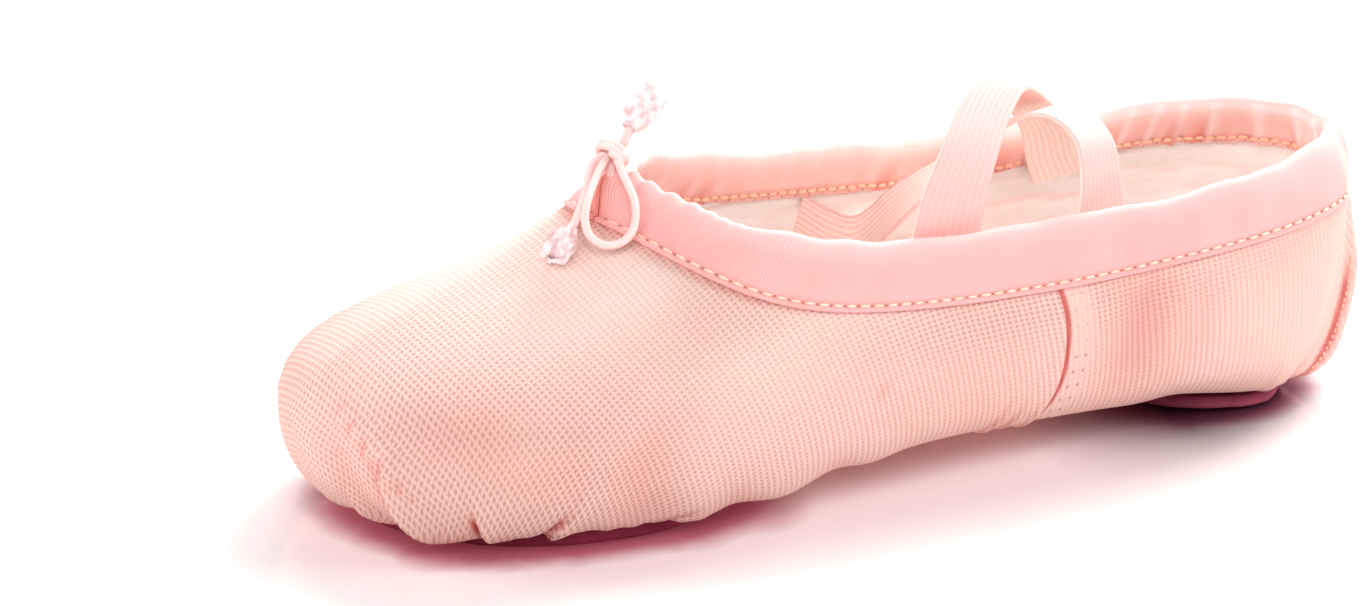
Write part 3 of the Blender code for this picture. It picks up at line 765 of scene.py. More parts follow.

# %% [markdown]
# ## Creases
# A canvas slipper is gathered round the toe and the heel where the sole pulls it in, and rests in soft
# troughs elsewhere. Each crease is listed in a table: where it crosses the turn under the foot,
# how it leans as it climbs, how far it reaches, how wide it is, how far it stands out or sinks in, and
# how dark the line of painted shade along it is. A fold is steep on one side, because the cloth overlaps
# there.

# %% The creases, in millimetres
Crease = namedtuple("Crease", "side lean low high width out steep dark")
CREASES = [Crease(*row) for row in [
    # The long fold at the toe corner, its bent upper end, and the troughs before it.
    (0.140, -0.32, -2, 34, 6.0, 2.2, -1, 0.8),
    (0.262, -1.20, 19, 42, 5.5, 1.8, -1, 0.45),
    (0.108, -0.40, 4, 40, 4.0, -1.3, 0, 0),
    (0.062, -0.05, -4, 26, 4.5, 0.8, -1, 0.2),
    (0.036, 0.10, -4, 22, 4.0, -0.6, 0, 0),
    (0.012, 0.05, -6, 20, 5.0, 0.7, -1, 0.2),
    # Two clefts where the canvas is caught under the pad, each with a drooping lip behind it.
    (0.186, 0.05, 3, 19, 0.7, -1.8, 0, 1.2),
    (0.192, 0.02, -4, 24, 3.6, 1.3, -1, 0),
    (0.160, 0.10, -4, 16, 5.0, 0.5, 0, 0),
    (0.227, 0.75, 0, 16, 1.0, -1.8, 0, 1.3),
    (0.235, 0.70, -4, 23, 3.8, 1.3, -1, 0),
    (0.215, 0.30, -4, 16, 4.0, 0.5, 0, 0),
    # The soft trough at the joint, and the curled edge below it.
    (0.331, 0.05, 2, 38, 6.5, -1.3, 0, 0),
    (0.306, 0.0, -4, 22, 5.0, 0.4, 0, 0),
    (0.368, 0.15, -5, 20, 5.0, 0.9, 0, 0),
    (0.330, 1.50, 1, 9, 1.8, -1.2, 0, 0.7),
    # The scalloped edge under the arch.
    (0.405, 0.1, -8, 16, 5.0, -0.8, 0, 0),
    (0.447, 0.0, -8, 14, 5.5, 0.8, 0, 0),
    (0.492, 0.0, -8, 14, 4.5, -0.7, 0, 0),
    (0.525, 0.0, -8, 18, 5.0, 0.6, 0, 0),
    # Fine folds that run into the foot of the side seam.
    (0.603, 0.55, -2, 17, 1.8, 0.7, -1, 0.4),
    (0.618, 0.50, -2, 16, 1.6, 0.6, -1, 0.4),
    (0.634, 0.45, -2, 14, 1.4, 0.5, -1, 0.3),
    # Upright troughs on the quarter, and the gathers at the heel.
    (0.708, 0.30, 6, 52, 6.0, -1.1, 0, 0),
    (0.745, 0.25, 4, 50, 4.5, 0.5, 0, 0),
    (0.764, 0.20, 8, 44, 4.5, -0.6, 0, 0),
    (0.860, 0.0, -6, 16, 5.0, 0.5, -1, 0),
    (0.900, 0.10, -8, 14, 3.0, -0.8, 0, 0),
    (0.945, 0.0, -8, 16, 4.5, 0.6, 0, 0),
    # The far side of the foot.
    (-0.045, 0.1, -6, 20, 4.5, 0.8, 1, 0.2),
    (-0.090, 0.3, -6, 32, 5.5, 1.2, 1, 0.5),
    (-0.120, 0.2, 4, 30, 4.5, -0.8, 0, 0),
    (-0.160, 0.0, 2, 17, 0.8, -1.4, 0, 0.9),
    (-0.185, 0.1, -8, 18, 5.0, 0.8, 1, 0),
    (-0.228, -0.2, 2, 16, 0.8, -1.5, 0, 0.9),
    (-0.255, 0.1, -8, 18, 5.0, 0.8, 1, 0),
    (-0.300, 0.0, -6, 20, 5.0, 0.7, 0, 0),
    (-0.345, 0.1, 4, 30, 5.5, -1.0, 0, 0),
    (-0.385, 0.0, -6, 18, 5.0, 0.8, 0, 0),
    (-0.430, 0.0, -8, 16, 5.0, -0.7, 0, 0),
    (-0.480, 0.0, -8, 16, 5.0, 0.7, 0, 0),
    (-0.560, 0.0, -8, 18, 6.0, -0.5, 0, 0),
    (-0.615, -0.4, -2, 15, 1.6, 0.6, 1, 0.3),
    (-0.740, 0.0, 6, 40, 5.0, -0.6, 0, 0),
    (-0.850, 0.0, -6, 18, 5.0, 0.6, 0, 0),
    (-0.905, 0.0, -8, 15, 3.0, -0.8, 0, 0),
    (-0.950, 0.0, -8, 16, 4.5, 0.6, 0, 0),
]]
TUCK, HEEL_PINCH_IN = 1.1, 1.3
LINE_WIDTH, SHADE_WIDTH, SHADE_OF_DEPTH = 0.55, 2.6, 0.17
GATHER_PITCH, GATHER_DEPTH = 5.3, 0.4


def ring_place(side):
    """Distance round the foot from the toe at its fullest line, in mm; negative on the other side."""
    return np.sign(side) * np.interp(np.abs(side), half, widest_run)


def creases(side, ups):
    """How far the canvas stands out, in metres, and how much painted shade it gets, at these sides and
    distances up.
    """
    place, ups = np.broadcast_arrays(ring_place(side), np.asarray(ups) / MM)
    out, dark = np.zeros(ups.shape), np.zeros(ups.shape)
    whole = 2 * widest_run[-1]
    for crease in CREASES:
        across = place - ring_place(crease.side) - math.copysign(crease.lean, crease.side * crease.lean) * ups
        across = ((across + whole / 2) % whole - whole / 2) / crease.width
        fade = 0.3 * (crease.high - crease.low)
        reach = rise(crease.low, crease.low + fade, ups) * fall(crease.high - 1.6 * fade, crease.high, ups)
        bump, line = hump(across), hump(across * crease.width, 0, LINE_WIDTH)
        if crease.steep:
            bump = bump * rise(-0.22, 0.10, -across * crease.steep)
            line = hump(across * crease.width, 0.12 * crease.width * crease.steep, LINE_WIDTH)
        out += crease.out * reach * bump
        shade = hump(across * crease.width, 0, SHADE_WIDTH) - bump if crease.steep else bump
        shaded = crease.out < 0 or crease.steep != 0
        soft = SHADE_OF_DEPTH * abs(crease.out) * np.maximum(shade, 0) * shaded
        # Painted shade: a dark line along the crease, and soft shade in a trough or on a fold's low side.
        dark += reach * (crease.dark * line + soft)
    near_toe = fall(0.30, 0.42, np.abs(side))
    near_heel = rise(0.84, 0.90, np.abs(side))
    over_heel_pad = rise(0.73, 0.78, np.abs(side)) * fall(0.88, 0.93, np.abs(side))
    gathers = np.sin(place * 2 * np.pi / GATHER_PITCH + 0.9 * np.sin(place / 7))
    out += GATHER_DEPTH * gathers * (near_toe + 0.7 * near_heel) * rise(-14, -5, ups) * fall(-2, 8, ups)
    out -= TUCK * near_toe * fall(4, 16, ups) + HEEL_PINCH_IN * over_heel_pad * fall(2, 11, ups)
    return out * MM, dark


print(len(CREASES), "creases")

# %% [markdown]
# ## Canvas shell
# The canvas is one skin from under the foot up to the collar. Its side seam is a lapped one: the
# vamp's folded edge stands proud, and the quarter starts in the groove behind it. At the back the two
# quarters are joined by a seam that stands up as a low ridge. Behind the tape the skin is pressed flat.

# %% Seams of the canvas
SEAM_FOLD, SEAM_GROOVE, BACK_RIDGE, PINCH = 0.45 * MM, -0.35 * MM, 2.5 * MM, 1.8 * MM
SEAM_SLIDE, CANVAS_WALL = 0.045, 0.55 * MM

# The back seam: heights above the turn, and how far to the near side it lies there, both in mm.
BACK_SEAM = (0, 4, 8, 16, 25, 36, 50), (25, 23, 20, 16, 12, 6, 3)
BACK_STRETCH = 1.2


def seam_at(ups):
    """Where the side seam lies: it bows back in the middle of its height."""
    return SIDE_SEAM + 0.003 - 0.000088 * (np.maximum(ups / MM, 6) - 22.5) ** 2


def from_back_seam(side, ups):
    """Distance from the back seam, in mm: the seam leans towards the near side as it goes down."""
    from_back = (1 - np.abs(side)) * widest_run[-1] * BACK_STRETCH * np.where(side < 0, -1, 1)
    return from_back - np.interp(ups / MM, *BACK_SEAM)


def pinch(side, ups):
    """How far the heel is drawn in on both sides of the back seam, in metres."""
    return PINCH * hump(np.abs(from_back_seam(side, ups)), 9, 6)


def seams(side, ups):
    """The side seam's fold and groove, and the back seam's ridge, in metres; and how dark: painted shade in
    the groove, and a dark line beside the ridge.
    """
    behind = np.abs(ring_place(side)) - ring_place(seam_at(ups))
    fold = SEAM_FOLD * rise(-5, -0.3, behind) * fall(-0.35, 0.1, behind)
    groove = rise(-0.15, 0.25, behind) * fall(0.3, 1.8, behind)
    from_back = from_back_seam(side, ups)
    ridge = BACK_RIDGE * hump(from_back, 0, 1.4) - 0.3 * MM * hump(from_back, 3.4, 1.6)
    # The side seam's groove gets a line of painted shade; beside the back seam's ridge runs a dark line.
    line = rise(-0.3, 0.1, behind) * fall(0.9, 1.5, behind)
    line += 0.9 * rise(0.9, 1.4, from_back) * fall(1.8, 2.6, from_back) * fall(18, 27, ups / MM)
    shown = rise(-2, 3, ups / MM)
    ridge = ridge * rise(-2, 8, ups / MM) * (1 - 0.5 * rise(22, 34, ups / MM))
    out = (fold + SEAM_GROOVE * groove) * shown + ridge - pinch(side, ups) * rise(2, 9, ups / MM)
    return out, line * shown


# Broad soft places of painted shade, and of painted highlight where the amount is below zero.
PaintedLightPatch = namedtuple("PaintedLightPatch", "side up wide tall more")
PAINTED_LIGHT_PATCHES = [PaintedLightPatch(*row) for row in [
    (0.160, 37, 15, 12, 0.24), (0.275, 24, 14, 14, 0.14), (0.733, 25, 9, 17, 0.22), (0.060, 27, 7, 6, 0.04),
    (-0.160, 37, 15, 12, 0.2), (-0.724, 24, 6, 15, 0.2), (0.180, 80, 40, 26, -0.5), (0.430, 42, 26, 14, -0.3),
    (-0.180, 80, 40, 26, -0.5), (-0.430, 42, 26, 14, -0.3), (0.521, 22, 1.1, 1.8, 0.3),
]]


def painted_light(side, ups):
    """Painted shade where the colour is deeper, and painted highlight where it is paler below zero, in broad
    soft places listed in millimetres.
    """
    place, tall = ring_place(side), ups / MM
    return sum(b.more * hump(place, ring_place(b.side), b.wide) * hump(tall, b.up, b.tall) for b in PAINTED_LIGHT_PATCHES)


def lower(side):
    """How much further down the tape reaches at the sides than at the throat, in mm."""
    return 1.0 * rise(0.22, 0.45, np.abs(side))


# %% [markdown]
# Now the wall itself. Its rows stop where the tape begins, and a few more go on flat behind the tape.
# The ribs next to the side seam slide along the foot, so that one of them lies in the seam all the
# way up.

# %% The canvas wall
UNDER_ROWS = 7
side_share = np.concatenate([np.linspace(0, 0.25, 15)[:-1], np.linspace(0.25, 1, 25)])
under_tape = np.array([12.8, 12.4, 11.4, 9.0, 7.0, 5.0, 2.2]) * MM
free_height = shell.height - TAPE_DEPTH - lower(ring_side) * MM
hidden = under_tape + lower(ring_side)[:, None] * rise(5 * MM, 12.4 * MM, under_tape) * MM
ups = np.concatenate([free_height[:, None] * side_share, shell.height[:, None] - hidden], axis=1)

size = np.abs(ring_side)[:, None]
slid = size + (seam_at(ups) - SIDE_SEAM) * hump(size, SIDE_SEAM, SEAM_SLIDE)
rib = np.interp(slid, half, np.arange(HALF_RIBS))
rib = np.where(ring_side[:, None] < 0, 2 * (HALF_RIBS - 1) - rib, rib)
side = np.where(ring_side < 0, -1, 1)[:, None] * slid

free = fall(free_height[:, None] - 5 * MM, free_height[:, None], ups)
crease_out, crease_shade = creases(side, ups)
seam_out, seam_dark = seams(side, ups)
relief = (crease_out + seam_out) * free
side_wall = shell.at(ups)
before = np.floor(rib).astype(int) % len(ring_side)
after, share = (before + 1) % len(ring_side), (rib - np.floor(rib))[..., None]
columns = np.arange(ups.shape[1])[None]
normals = shell.at(ups, 1.0) - side_wall
side_wall = side_wall[before, columns] * (1 - share) + side_wall[after, columns] * share
side_wall += normals * relief[..., None]
depth = shell.height[:, None] - ups
# Painted shadow under the tape's lip, and painted shade on the canvas that shows through the slit at the
# throat.
lip_shadow = hump(depth / MM - 13.4, lower(ring_side)[:, None], 0.55) * (1.0 - 0.8 * rise(0.25, 0.50, size))
slit = rise(-9.5, -7, -depth / MM) * fall(0.5, 1.6, size * 220)
seam_dark = seam_dark * fall(0, 2 * MM, ups - free_height[:, None])
# The sum of the canvas's painted shade and dark seam lines; below zero it is painted highlight.
shade_and_highlight = crease_shade * free + 1.25 * seam_dark + lip_shadow + painted_light(side, ups) + slit
striped = rise(0.32, 0.60, size) * (1 - 0.75 * rise(0.62, 0.92, ups / free_height[:, None]))
fuzz = 0.15 + 0.85 * rise(0.76, 0.88, size) * (1 - 0.5 * rise(0.5, 0.9, ups / free_height[:, None]))

behind = np.abs(ring_place(side)) - ring_place(seam_at(ups))
fuzz = np.maximum(fuzz, 0.95 * rise(0.8, 2.0, behind) * fall(5.5, 8.5, behind))

# %% [markdown]
# Under the foot the skin runs from the turn in to the middle line, and keeps a share of the gathers.

# %% The canvas under the foot
turn_edge = shell.curves[:, 0]
middle_y = np.interp(np.abs(ring_side), [0, 1], [-0.0925, 0.0995])
inward = np.linspace(0, 1, UNDER_ROWS + 1)[:-1][None]
under = np.zeros((len(ring_side), UNDER_ROWS, 3))
under[..., 0] = turn_edge[:, :1] * inward
under[..., 1] = middle_y[:, None] + (turn_edge[:, 1:2] - middle_y[:, None]) * inward
under[..., 2] = under_canvas(under[..., 0], under[..., 1])
reach_in = np.linalg.norm(under[..., :2] - turn_edge[:, None, :2], axis=2)
edge_push = side_wall[:, :1] - turn_edge[:, None]
under += edge_push * np.clip(1 - reach_in / (9 * MM), 0, 1)[..., None]

canvas_grid = closed(np.concatenate([under, side_wall], axis=1))

# %% [markdown]
# The weave needs its own coordinates. Each face takes all four of its corners from the panel that it
# belongs to, so the threads break off cleanly at the seams.

# %% The canvas's weave coordinates
side = closed(side)
step = closed(ups / shell.height[:, None]) * (PATTERN_STEPS - 1)
on_vamp, on_quarter = (
    sample(pattern, (place - span[0]) / (span[1] - span[0]) * (count - 1), step)
    for pattern, place, span, count in (
        (patterns[0], side, VAMP_SPAN, VAMP_RIBS), (patterns[1], np.abs(side), QUARTER_SPAN, QUARTER_RIBS),
    )
)
on_sole = canvas_grid[..., 1::-1]
middle_size = np.abs(np.append(ring_side, 0.0)[:-1] + np.append(ring_side, 0.0)[1:]) / 2
middle_size[HALF_RIBS - 1] = 1
is_vamp = (middle_size < SIDE_SEAM)[:, None, None]
corner_flat = np.zeros((len(middle_size), canvas_grid.shape[1] - 1, 4, 2))
for k, (i, j) in enumerate(((0, 0), (1, 0), (1, 1), (0, 1))):
    ends = slice(i, len(middle_size) + i)
    corner_flat[:, :UNDER_ROWS, k] = on_sole[ends, j : UNDER_ROWS + j]
    rows = slice(j, step.shape[1] - 1 + j)
    corner_flat[:, UNDER_ROWS:, k] = np.where(is_vamp, on_vamp[ends, rows], on_quarter[ends, rows])

canvas_mesh = mesh_of("canvas_shell", canvas_grid, flat=corner_flat)
# Painted shade where the sum is above zero, and painted highlight where it is below.
shades = {"crevice": np.clip(shade_and_highlight, 0, 1), "faded": np.clip(-shade_and_highlight, 0, 1), "fuzz": fuzz, "striped": striped}
blank = np.zeros((len(ring_side), UNDER_ROWS))
layers = {name: closed(np.concatenate([blank, values], axis=1)) for name, values in shades.items()}
paint(canvas_mesh, canvas_grid.shape[:2], **layers)
merge(canvas_mesh)
print("canvas:", len(canvas_mesh.polygons), "faces")

# %% [markdown]
# Plain-woven canvas is a checkerboard of rounded threads: where a lengthwise thread is on top, the
# cross thread dives under it. The finish takes a round profile for each set, raises one and lowers
# the other in turn, and keeps the higher. Low places keep more of the dye and catch less light.

# %% Finish of the canvas
def weave(along, across, pitch_along, pitch_across):
    """Height from 0 to 1 of a plain weave."""
    a, b = along * (math.pi / pitch_along), across * (math.pi / pitch_across)
    over = a.cos() * b.cos() * 0.24
    warp = (b * 2).cos() * 0.5 + 0.5
    weft = (a * 2).cos() * 0.5 + 0.5
    warp = warp.math("POWER", 0.8) * (over + 0.76)
    weft = weft.math("POWER", 0.8) * (0.76 - over)
    return warp.math("MAXIMUM", weft)


WARP_PITCH, WEFT_PITCH, COTTON_PITCH = 1.32 * MM, 0.96 * MM, 0.5 * MM
canvas_finish = Finish("salmon pink canvas", (0.93, 0.5, 0.42), 0.9, Specular_IOR_Level=0.15)
along, across = canvas_finish.cloth("cloth")
wobble = canvas_finish.noise(canvas_finish.place(), 220.0, 2.0) * 0.35 * MM
threads = weave(along + wobble, across + wobble, WARP_PITCH, WEFT_PITCH)
patch = canvas_finish.noise(canvas_finish.place(), 35.0, 3.0)
pale = canvas_finish.blend(0.35, 0.7, patch, (0.81, 0.51, 0.45), (0.84, 0.57, 0.51))
slack = canvas_finish.noise(canvas_finish.place(), 22.0, 2.0)
gap = canvas_finish.blend(0.35, 0.65, slack, (0.42, 0.21, 0.17), (0.58, 0.31, 0.26))
gap = canvas_finish.tint(gap, "fuzz", pale, 0.75)
woven = canvas_finish.blend(0.25, 0.8, threads, gap, pale)
stripes = (along + wobble).waves(WARP_PITCH) * 0.5 + 0.5
ribbed = canvas_finish.blend(0.1, 0.6, stripes, (0.74, 0.40, 0.345), pale)
woven = canvas_finish.tint(woven, "striped", ribbed, 0.8)
woven = canvas_finish.tint(woven, "fuzz", pale, 0.6)
# Painted highlight goes over to a pale cream, and painted shade to a deep red.
woven = canvas_finish.tint(woven, "faded", (0.93, 0.76, 0.69))
canvas_finish.colour(canvas_finish.tint(woven, "crevice", (0.55, 0.09, 0.085), 0.85))
canvas_finish.relief(threads, 0.13 * MM)

thicken(add_piece(canvas_mesh, canvas_finish, "canvas", "upper"), CANVAS_WALL)

# %% [markdown]
# ## Lining
# Inside the canvas is a thin cotton lining. It isn't stretched like the canvas, so it lies in small
# crosswise wrinkles. It is the same surface moved inwards, with the wrinkles added to it.

# %% Lining
LINING_DROP, LINING_IN, LINING_WALL = 10 * MM, 1.25, 0.3 * MM
lining_side = both_sides(np.linspace(0, 1, 150))
lining_shell = Shell(lining_side)
lining_top = lining_shell.height[:, None] - LINING_DROP
lining_ups = lining_top * np.linspace(0, 1, 34)
place, tall = ring_place(lining_side)[:, None], lining_ups / MM
wrinkles = 0.28 * np.sin(tall * 1.15 + 1.4 * np.sin(place / 9) + 0.6 * np.sin(place / 3.1))
wrinkles += 0.20 * np.sin(tall * 0.55 + place / 14.3)
wrinkles += 0.22 * np.sin(tall * 2.3 - place / 16 + np.sin(place / 5))
below_tape = fall(lining_top - 8 * MM, lining_top - 2 * MM, lining_ups)
from_seam = np.abs(place) - ring_place(SIDE_SEAM)
lining_out = creases(lining_side[:, None], lining_ups)[0] * below_tape
lining_out -= pinch(lining_side[:, None], lining_ups)
lining_out += (0.7 * wrinkles - LINING_IN - 0.6 * hump(from_seam, 0, 3.5)) * MM
lining_grid = closed(lining_shell.at(lining_ups, lining_out))
lining_run = np.append(place[:, 0], -0.5)[:, None] * MM
lining_flat = np.stack(np.broadcast_arrays(lining_run, closed(tall) * MM), -1)
lining_mesh = mesh_of("lining", lining_grid[:, ::-1], flat=lining_flat[:, ::-1])
# Painted shade in the hollows of the wrinkles.
wrinkle_shade = np.clip(1.5 * wrinkles - 0.1, 0, 1)
paint(lining_mesh, lining_grid.shape[:2], crevice=closed(wrinkle_shade)[:, ::-1])
merge(lining_mesh)

lining_finish = Finish("peach cotton lining", (0.96, 0.70, 0.60), 0.92, Specular_IOR_Level=0.1)
along, across = lining_finish.cloth("cloth")
fine = weave(along, across, COTTON_PITCH, COTTON_PITCH)
soft = lining_finish.noise(lining_finish.place(), 60.0, 4.0)
cotton = lining_finish.blend(0.3, 0.7, soft, (0.98, 0.85, 0.80), (1.0, 0.95, 0.92))
# The painted shade is a deeper peach.
lining_finish.colour(lining_finish.tint(cotton, "crevice", (0.93, 0.62, 0.52), 0.6))
lining_finish.relief(fine * 0.2 + soft, 0.5 * MM)
# Painted light: a faint glow brightens the lining inside the shoe.
lining_finish.glow(0.03, (1.0, 0.93, 0.90))
thicken(add_piece(lining_mesh, lining_finish, "lining"), LINING_WALL)

# %% [markdown]
# ## Insole
# A thin sock of the same cotton covers the seams inside. It follows the underside at a small distance.

# %% Insole
CANVAS, INSOLE, INSOLE_INSET, INSOLE_GAP = 1.2 * MM, 1.2 * MM, 0.6 * MM, 0.6 * MM
TOE_ARC, HEEL_ARC = 14 * MM, 12 * MM
insole_half = np.linspace(0, 1, 90)
edge = rail("feather", insole_half)
centre = np.zeros_like(edge)
centre[:, 1] = np.linspace(edge[0, 1] + TOE_ARC, edge[-1, 1] - HEEL_ARC, len(insole_half))
reach = np.linalg.norm((edge - centre)[:, :2], axis=1)
share = (1 - INSOLE_INSET / reach)[:, None] * np.linspace(0, 1, 12)[None]
half_insole = centre[:, None] + (edge - centre)[:, None] * share[..., None]
half_insole[..., 2] = under_canvas(half_insole[..., 0], half_insole[..., 1]) + CANVAS + INSOLE_GAP + INSOLE
insole_grid = np.concatenate([half_insole, half_insole[-2::-1] * MIRROR])
ripple = np.sin(insole_grid[..., 1] / MM * 0.9 + 2 * np.sin(insole_grid[..., 0] / MM * 0.13)) * 0.12
insole_grid[..., 2] += ripple * MM
insole_mesh = merge(mesh_of("insole_sock", insole_grid[:, ::-1], flat=insole_grid[:, ::-1, 1::-1]))
thicken(add_piece(insole_mesh, lining_finish, "lining", "insole"), INSOLE)

# %% [markdown]
# ## Collar tape
# A folded tape binds the collar and holds the drawcord. Seen in section it is a C over the canvas
# edge: a lip below the row of stitches, a groove where the thread pulls it in, a soft face that the
# cord fills, a rounded top and a puckered inside face. Its two ends butt at the throat.

# %% Collar tape
Corner = namedtuple("Corner", "depth out")
OUTSIDE_SEW, INSIDE_SEW, PULL_PITCH, SLANT = 11.6, 10.0, 2.7, 6.5
ROLL = 1.7
TAPE_SECTION = [Corner(*pair) for pair in [
    (12.7, 0.25), (13.0, 0.5), (12.97, 0.85), (12.7, 1.1), (12.3, 1.08), (11.95, 0.85), (11.6, 0.68),
    (11.2, 0.85), (10.6, 1.12), (9.4, 1.28), (8.0, 1.34), (6.4, 1.32), (4.8, 1.24), (3.2, 1.14),
    *((ROLL - ROLL * math.sin(a), ROLL * math.cos(a) - 0.6) for a in np.linspace(0, math.pi, 9)),
    (3.2, -2.32), (4.8, -2.36), (6.4, -2.38), (8.0, -2.34), (9.2, -2.24), (9.7, -2.05), (10.0, -1.92),
    (10.3, -2.05), (10.8, -2.25), (11.3, -2.2), (11.5, -1.9), (11.4, -1.62), (6, -1.55), (2.2, -1.5),
    (1.5, -0.6), (2.2, 0.2), (7, 0.2), (12.3, 0.2),
]]
tape_half = np.linspace(0, 1, 420)
tape_side = np.concatenate([tape_half, -tape_half[-2::-1]])
tape_side[-1] = -1e-9
tape_shell = Shell(tape_side)
tape_depth = np.array([corner.depth for corner in TAPE_SECTION])
tape_out = np.array([corner.out for corner in TAPE_SECTION])
tape_run = lengths(tape_shell.below([6 * MM])[:, 0])[:, None] / MM
tape_size = np.abs(tape_side)[:, None]


def wave(phase, drift, slow):
    """Waves along the tape that crowd together and spread out again."""
    return np.sin(phase + drift * np.sin(tape_run / slow))


outer_face = (tape_out > 0) & (tape_depth > 2)
inner_face = tape_out < -1.6
pull = 0.5 + 0.5 * np.cos(tape_run * 2 * np.pi / PULL_PITCH)
slack = 0.10 * wave(tape_run / 5.1, 1.3, 17) + 0.06 * wave(tape_run / 1.9, 1, 6)
near_sew = hump(tape_depth, OUTSIDE_SEW, 1.6) * outer_face
lean = tape_run + 0.12 * tape_depth
puckers = 0.55 * wave(lean * 0.52, 1.6, 9) + 0.45 * wave(lean * 0.23, 2.4, 17)
near_throat = fall(0.35, 0.6, tape_size)
at_ends = 0.2 + 0.8 * (fall(0.18, 0.34, tape_size) + rise(0.72, 0.85, tape_size))
phase = (tape_run + 0.06 * tape_depth) * 0.84 + 1.3 * np.sin(tape_run / 6.1) + 0.7 * np.sin(tape_run / 13)
puffs = at_ends * (0.5 + 0.5 * np.cos(phase)) ** 4
tucks = at_ends * (0.5 + 0.5 * np.cos(phase - 0.8)) ** 6
low_inside = rise(1.5, 8, tape_depth) * inner_face
out = tape_out + slack * outer_face - 0.16 * pull * near_sew
out -= (0.55 * np.abs(puckers) + 0.5 * puffs - 0.4 * tucks) * low_inside
out -= 1.4 * pinch(tape_side[:, None], 40 * MM) / MM * (0.25 + 0.75 * rise(2, 9, tape_depth))
reach = tape_depth + lower(tape_side)[:, None] * rise(6, 11, tape_depth) * (tape_out > 0)
tape_grid = tape_shell.below(reach * MM, out * MM)
edge_wave = 0.22 * wave(tape_run / 6.7, 1.7, 23) + 0.12 * wave(tape_run / 2.6, 1, 8)
edge_wave += 0.17 * fall(0.12, 0.35, tape_size) * wave(tape_run * 1.6, 1.5, 4)
tape_grid[..., 2] += edge_wave * (1.3 + near_throat) * fall(1, 7, tape_depth) * MM

# %% [markdown]
# The two ends meet in a slanting slit: the far one reaches past the middle, the near one stops short.
# The numbers for the finish follow: painted shade where the tape is caught or sunken, painted highlight
# where it swells, paler towards the top edge, and a lighter inner face as painted light.

# %% The slit and the tape's shades
for k, corner in enumerate(TAPE_SECTION):
    path = tape_grid[:, k].copy()
    run, cut = lengths(path) / MM, SLANT * rise(2, 13, corner.depth)
    at_start, at_end = np.clip(1 - run / 16, 0, 1), np.clip(1 - (run[-1] - run) / 16, 0, 1)
    moved = run + (cut + 0.05) * at_start + (cut - 0.05) * at_end
    tape_grid[:, k] = np.stack([np.interp(moved, run, path[:, axis], period=run[-1]) for axis in range(3)], 1)

tape_flat = np.stack([tape_run * MM + 0 * out, tape_depth * MM + 0 * out], -1)
tape_mesh = mesh_of("collar_tape", tape_grid, ring=True, caps=True, flat=tape_flat)
# Painted shade: along both rows of stitches, under the lip, in the hollows of the puckers and tucks, and at
# the two ends by the slit.
tape_shade = hump(tape_depth, OUTSIDE_SEW, 0.5) * outer_face * (0.12 + 0.15 * (1 - pull) + 0.2 * near_throat)
tape_shade += hump(tape_depth, INSIDE_SEW, 0.9) * inner_face * 0.45
tape_shade += 0.7 * (tape_depth > 12.6) * (tape_out < 0.6) * (tape_out > 0)
tape_shade += low_inside * (0.9 * np.maximum(0, np.abs(puckers) - 0.25) + 0.4 * tucks)
tape_shade += hump(np.minimum(tape_run, tape_run[-1] - tape_run), 0, 0.5)
# The outer face is paler towards its top edge, more so near the throat; the inner face gets painted highlight
# on its puffs, and is paler towards its top edge too.
pale_outside = (0.15 + 0.2 * near_throat) * fall(1.5, 6, tape_depth) + 0.2 * fall(0.5, 2.4, tape_depth)
inside_highlight = np.clip(0.8 * puffs + 0.5 * fall(1.5, 4.5, tape_depth), 0, 1)
pale = np.where(tape_out < -0.6, inside_highlight, pale_outside * (tape_out > -0.6))
ribbed = 0.25 + 0.75 * near_throat
paint(tape_mesh, out.shape, crevice=np.clip(tape_shade, 0, 1), inside=tape_out < -0.6, pale=pale, ribbed=ribbed)

TWILL_PITCH = 0.62 * MM
tape_finish = Finish("pink twill tape", (0.95, 0.55, 0.50), 0.8, Specular_IOR_Level=0.2)
along, across = tape_finish.cloth("cloth")
ripple = tape_finish.noise(tape_finish.place(), 300.0, 2.0) * 0.3 * MM
rib = ((along + ripple).waves(TWILL_PITCH) * 0.5 + 0.5) * tape_finish.attribute("ribbed")
cloud = tape_finish.noise(tape_finish.place(), 90.0, 3.0)
tape_colour = tape_finish.blend(0.3, 0.7, cloud, (0.89, 0.41, 0.39), (0.92, 0.45, 0.43))
# Paler near the top edge, with painted highlight on the inner face's puffs.
tape_colour = tape_finish.tint(tape_colour, "pale", (0.97, 0.72, 0.69))
# The inner face is a lighter copy of the tape's colour: painted light inside the shoe.
inside_painted_light = tape_finish.tint((0.98, 0.60, 0.53), "pale", (0.99, 0.78, 0.75))
tape_colour = tape_finish.tint(tape_colour, "inside", inside_painted_light, 0.9)
tape_colour = tape_finish.mix(rib * 0.22, tape_colour, (0.96, 0.56, 0.54))
# Painted shade is a deep red.
tape_finish.colour(tape_finish.tint(tape_colour, "crevice", (0.80, 0.22, 0.17), 0.8))
tape_finish.relief(rib * 0.5 + cloud, 0.16 * MM)
add_piece(tape_mesh, tape_finish, "binding_tape", "collar_binding")

# %% [markdown]
# ## Stitches and needle holes
# Rows of stitches are the same small shape over and over, which is work for Geometry Nodes. A tree
# turns a path into a curve, cuts it into equal steps, sets a bead on each, turned along the thread and
# away from the cloth, and varies its size by a fixed seed. A stitch is a long bead, a hole a flat one.

# %% A tree that sets beads along a path
LEAST = 0.85


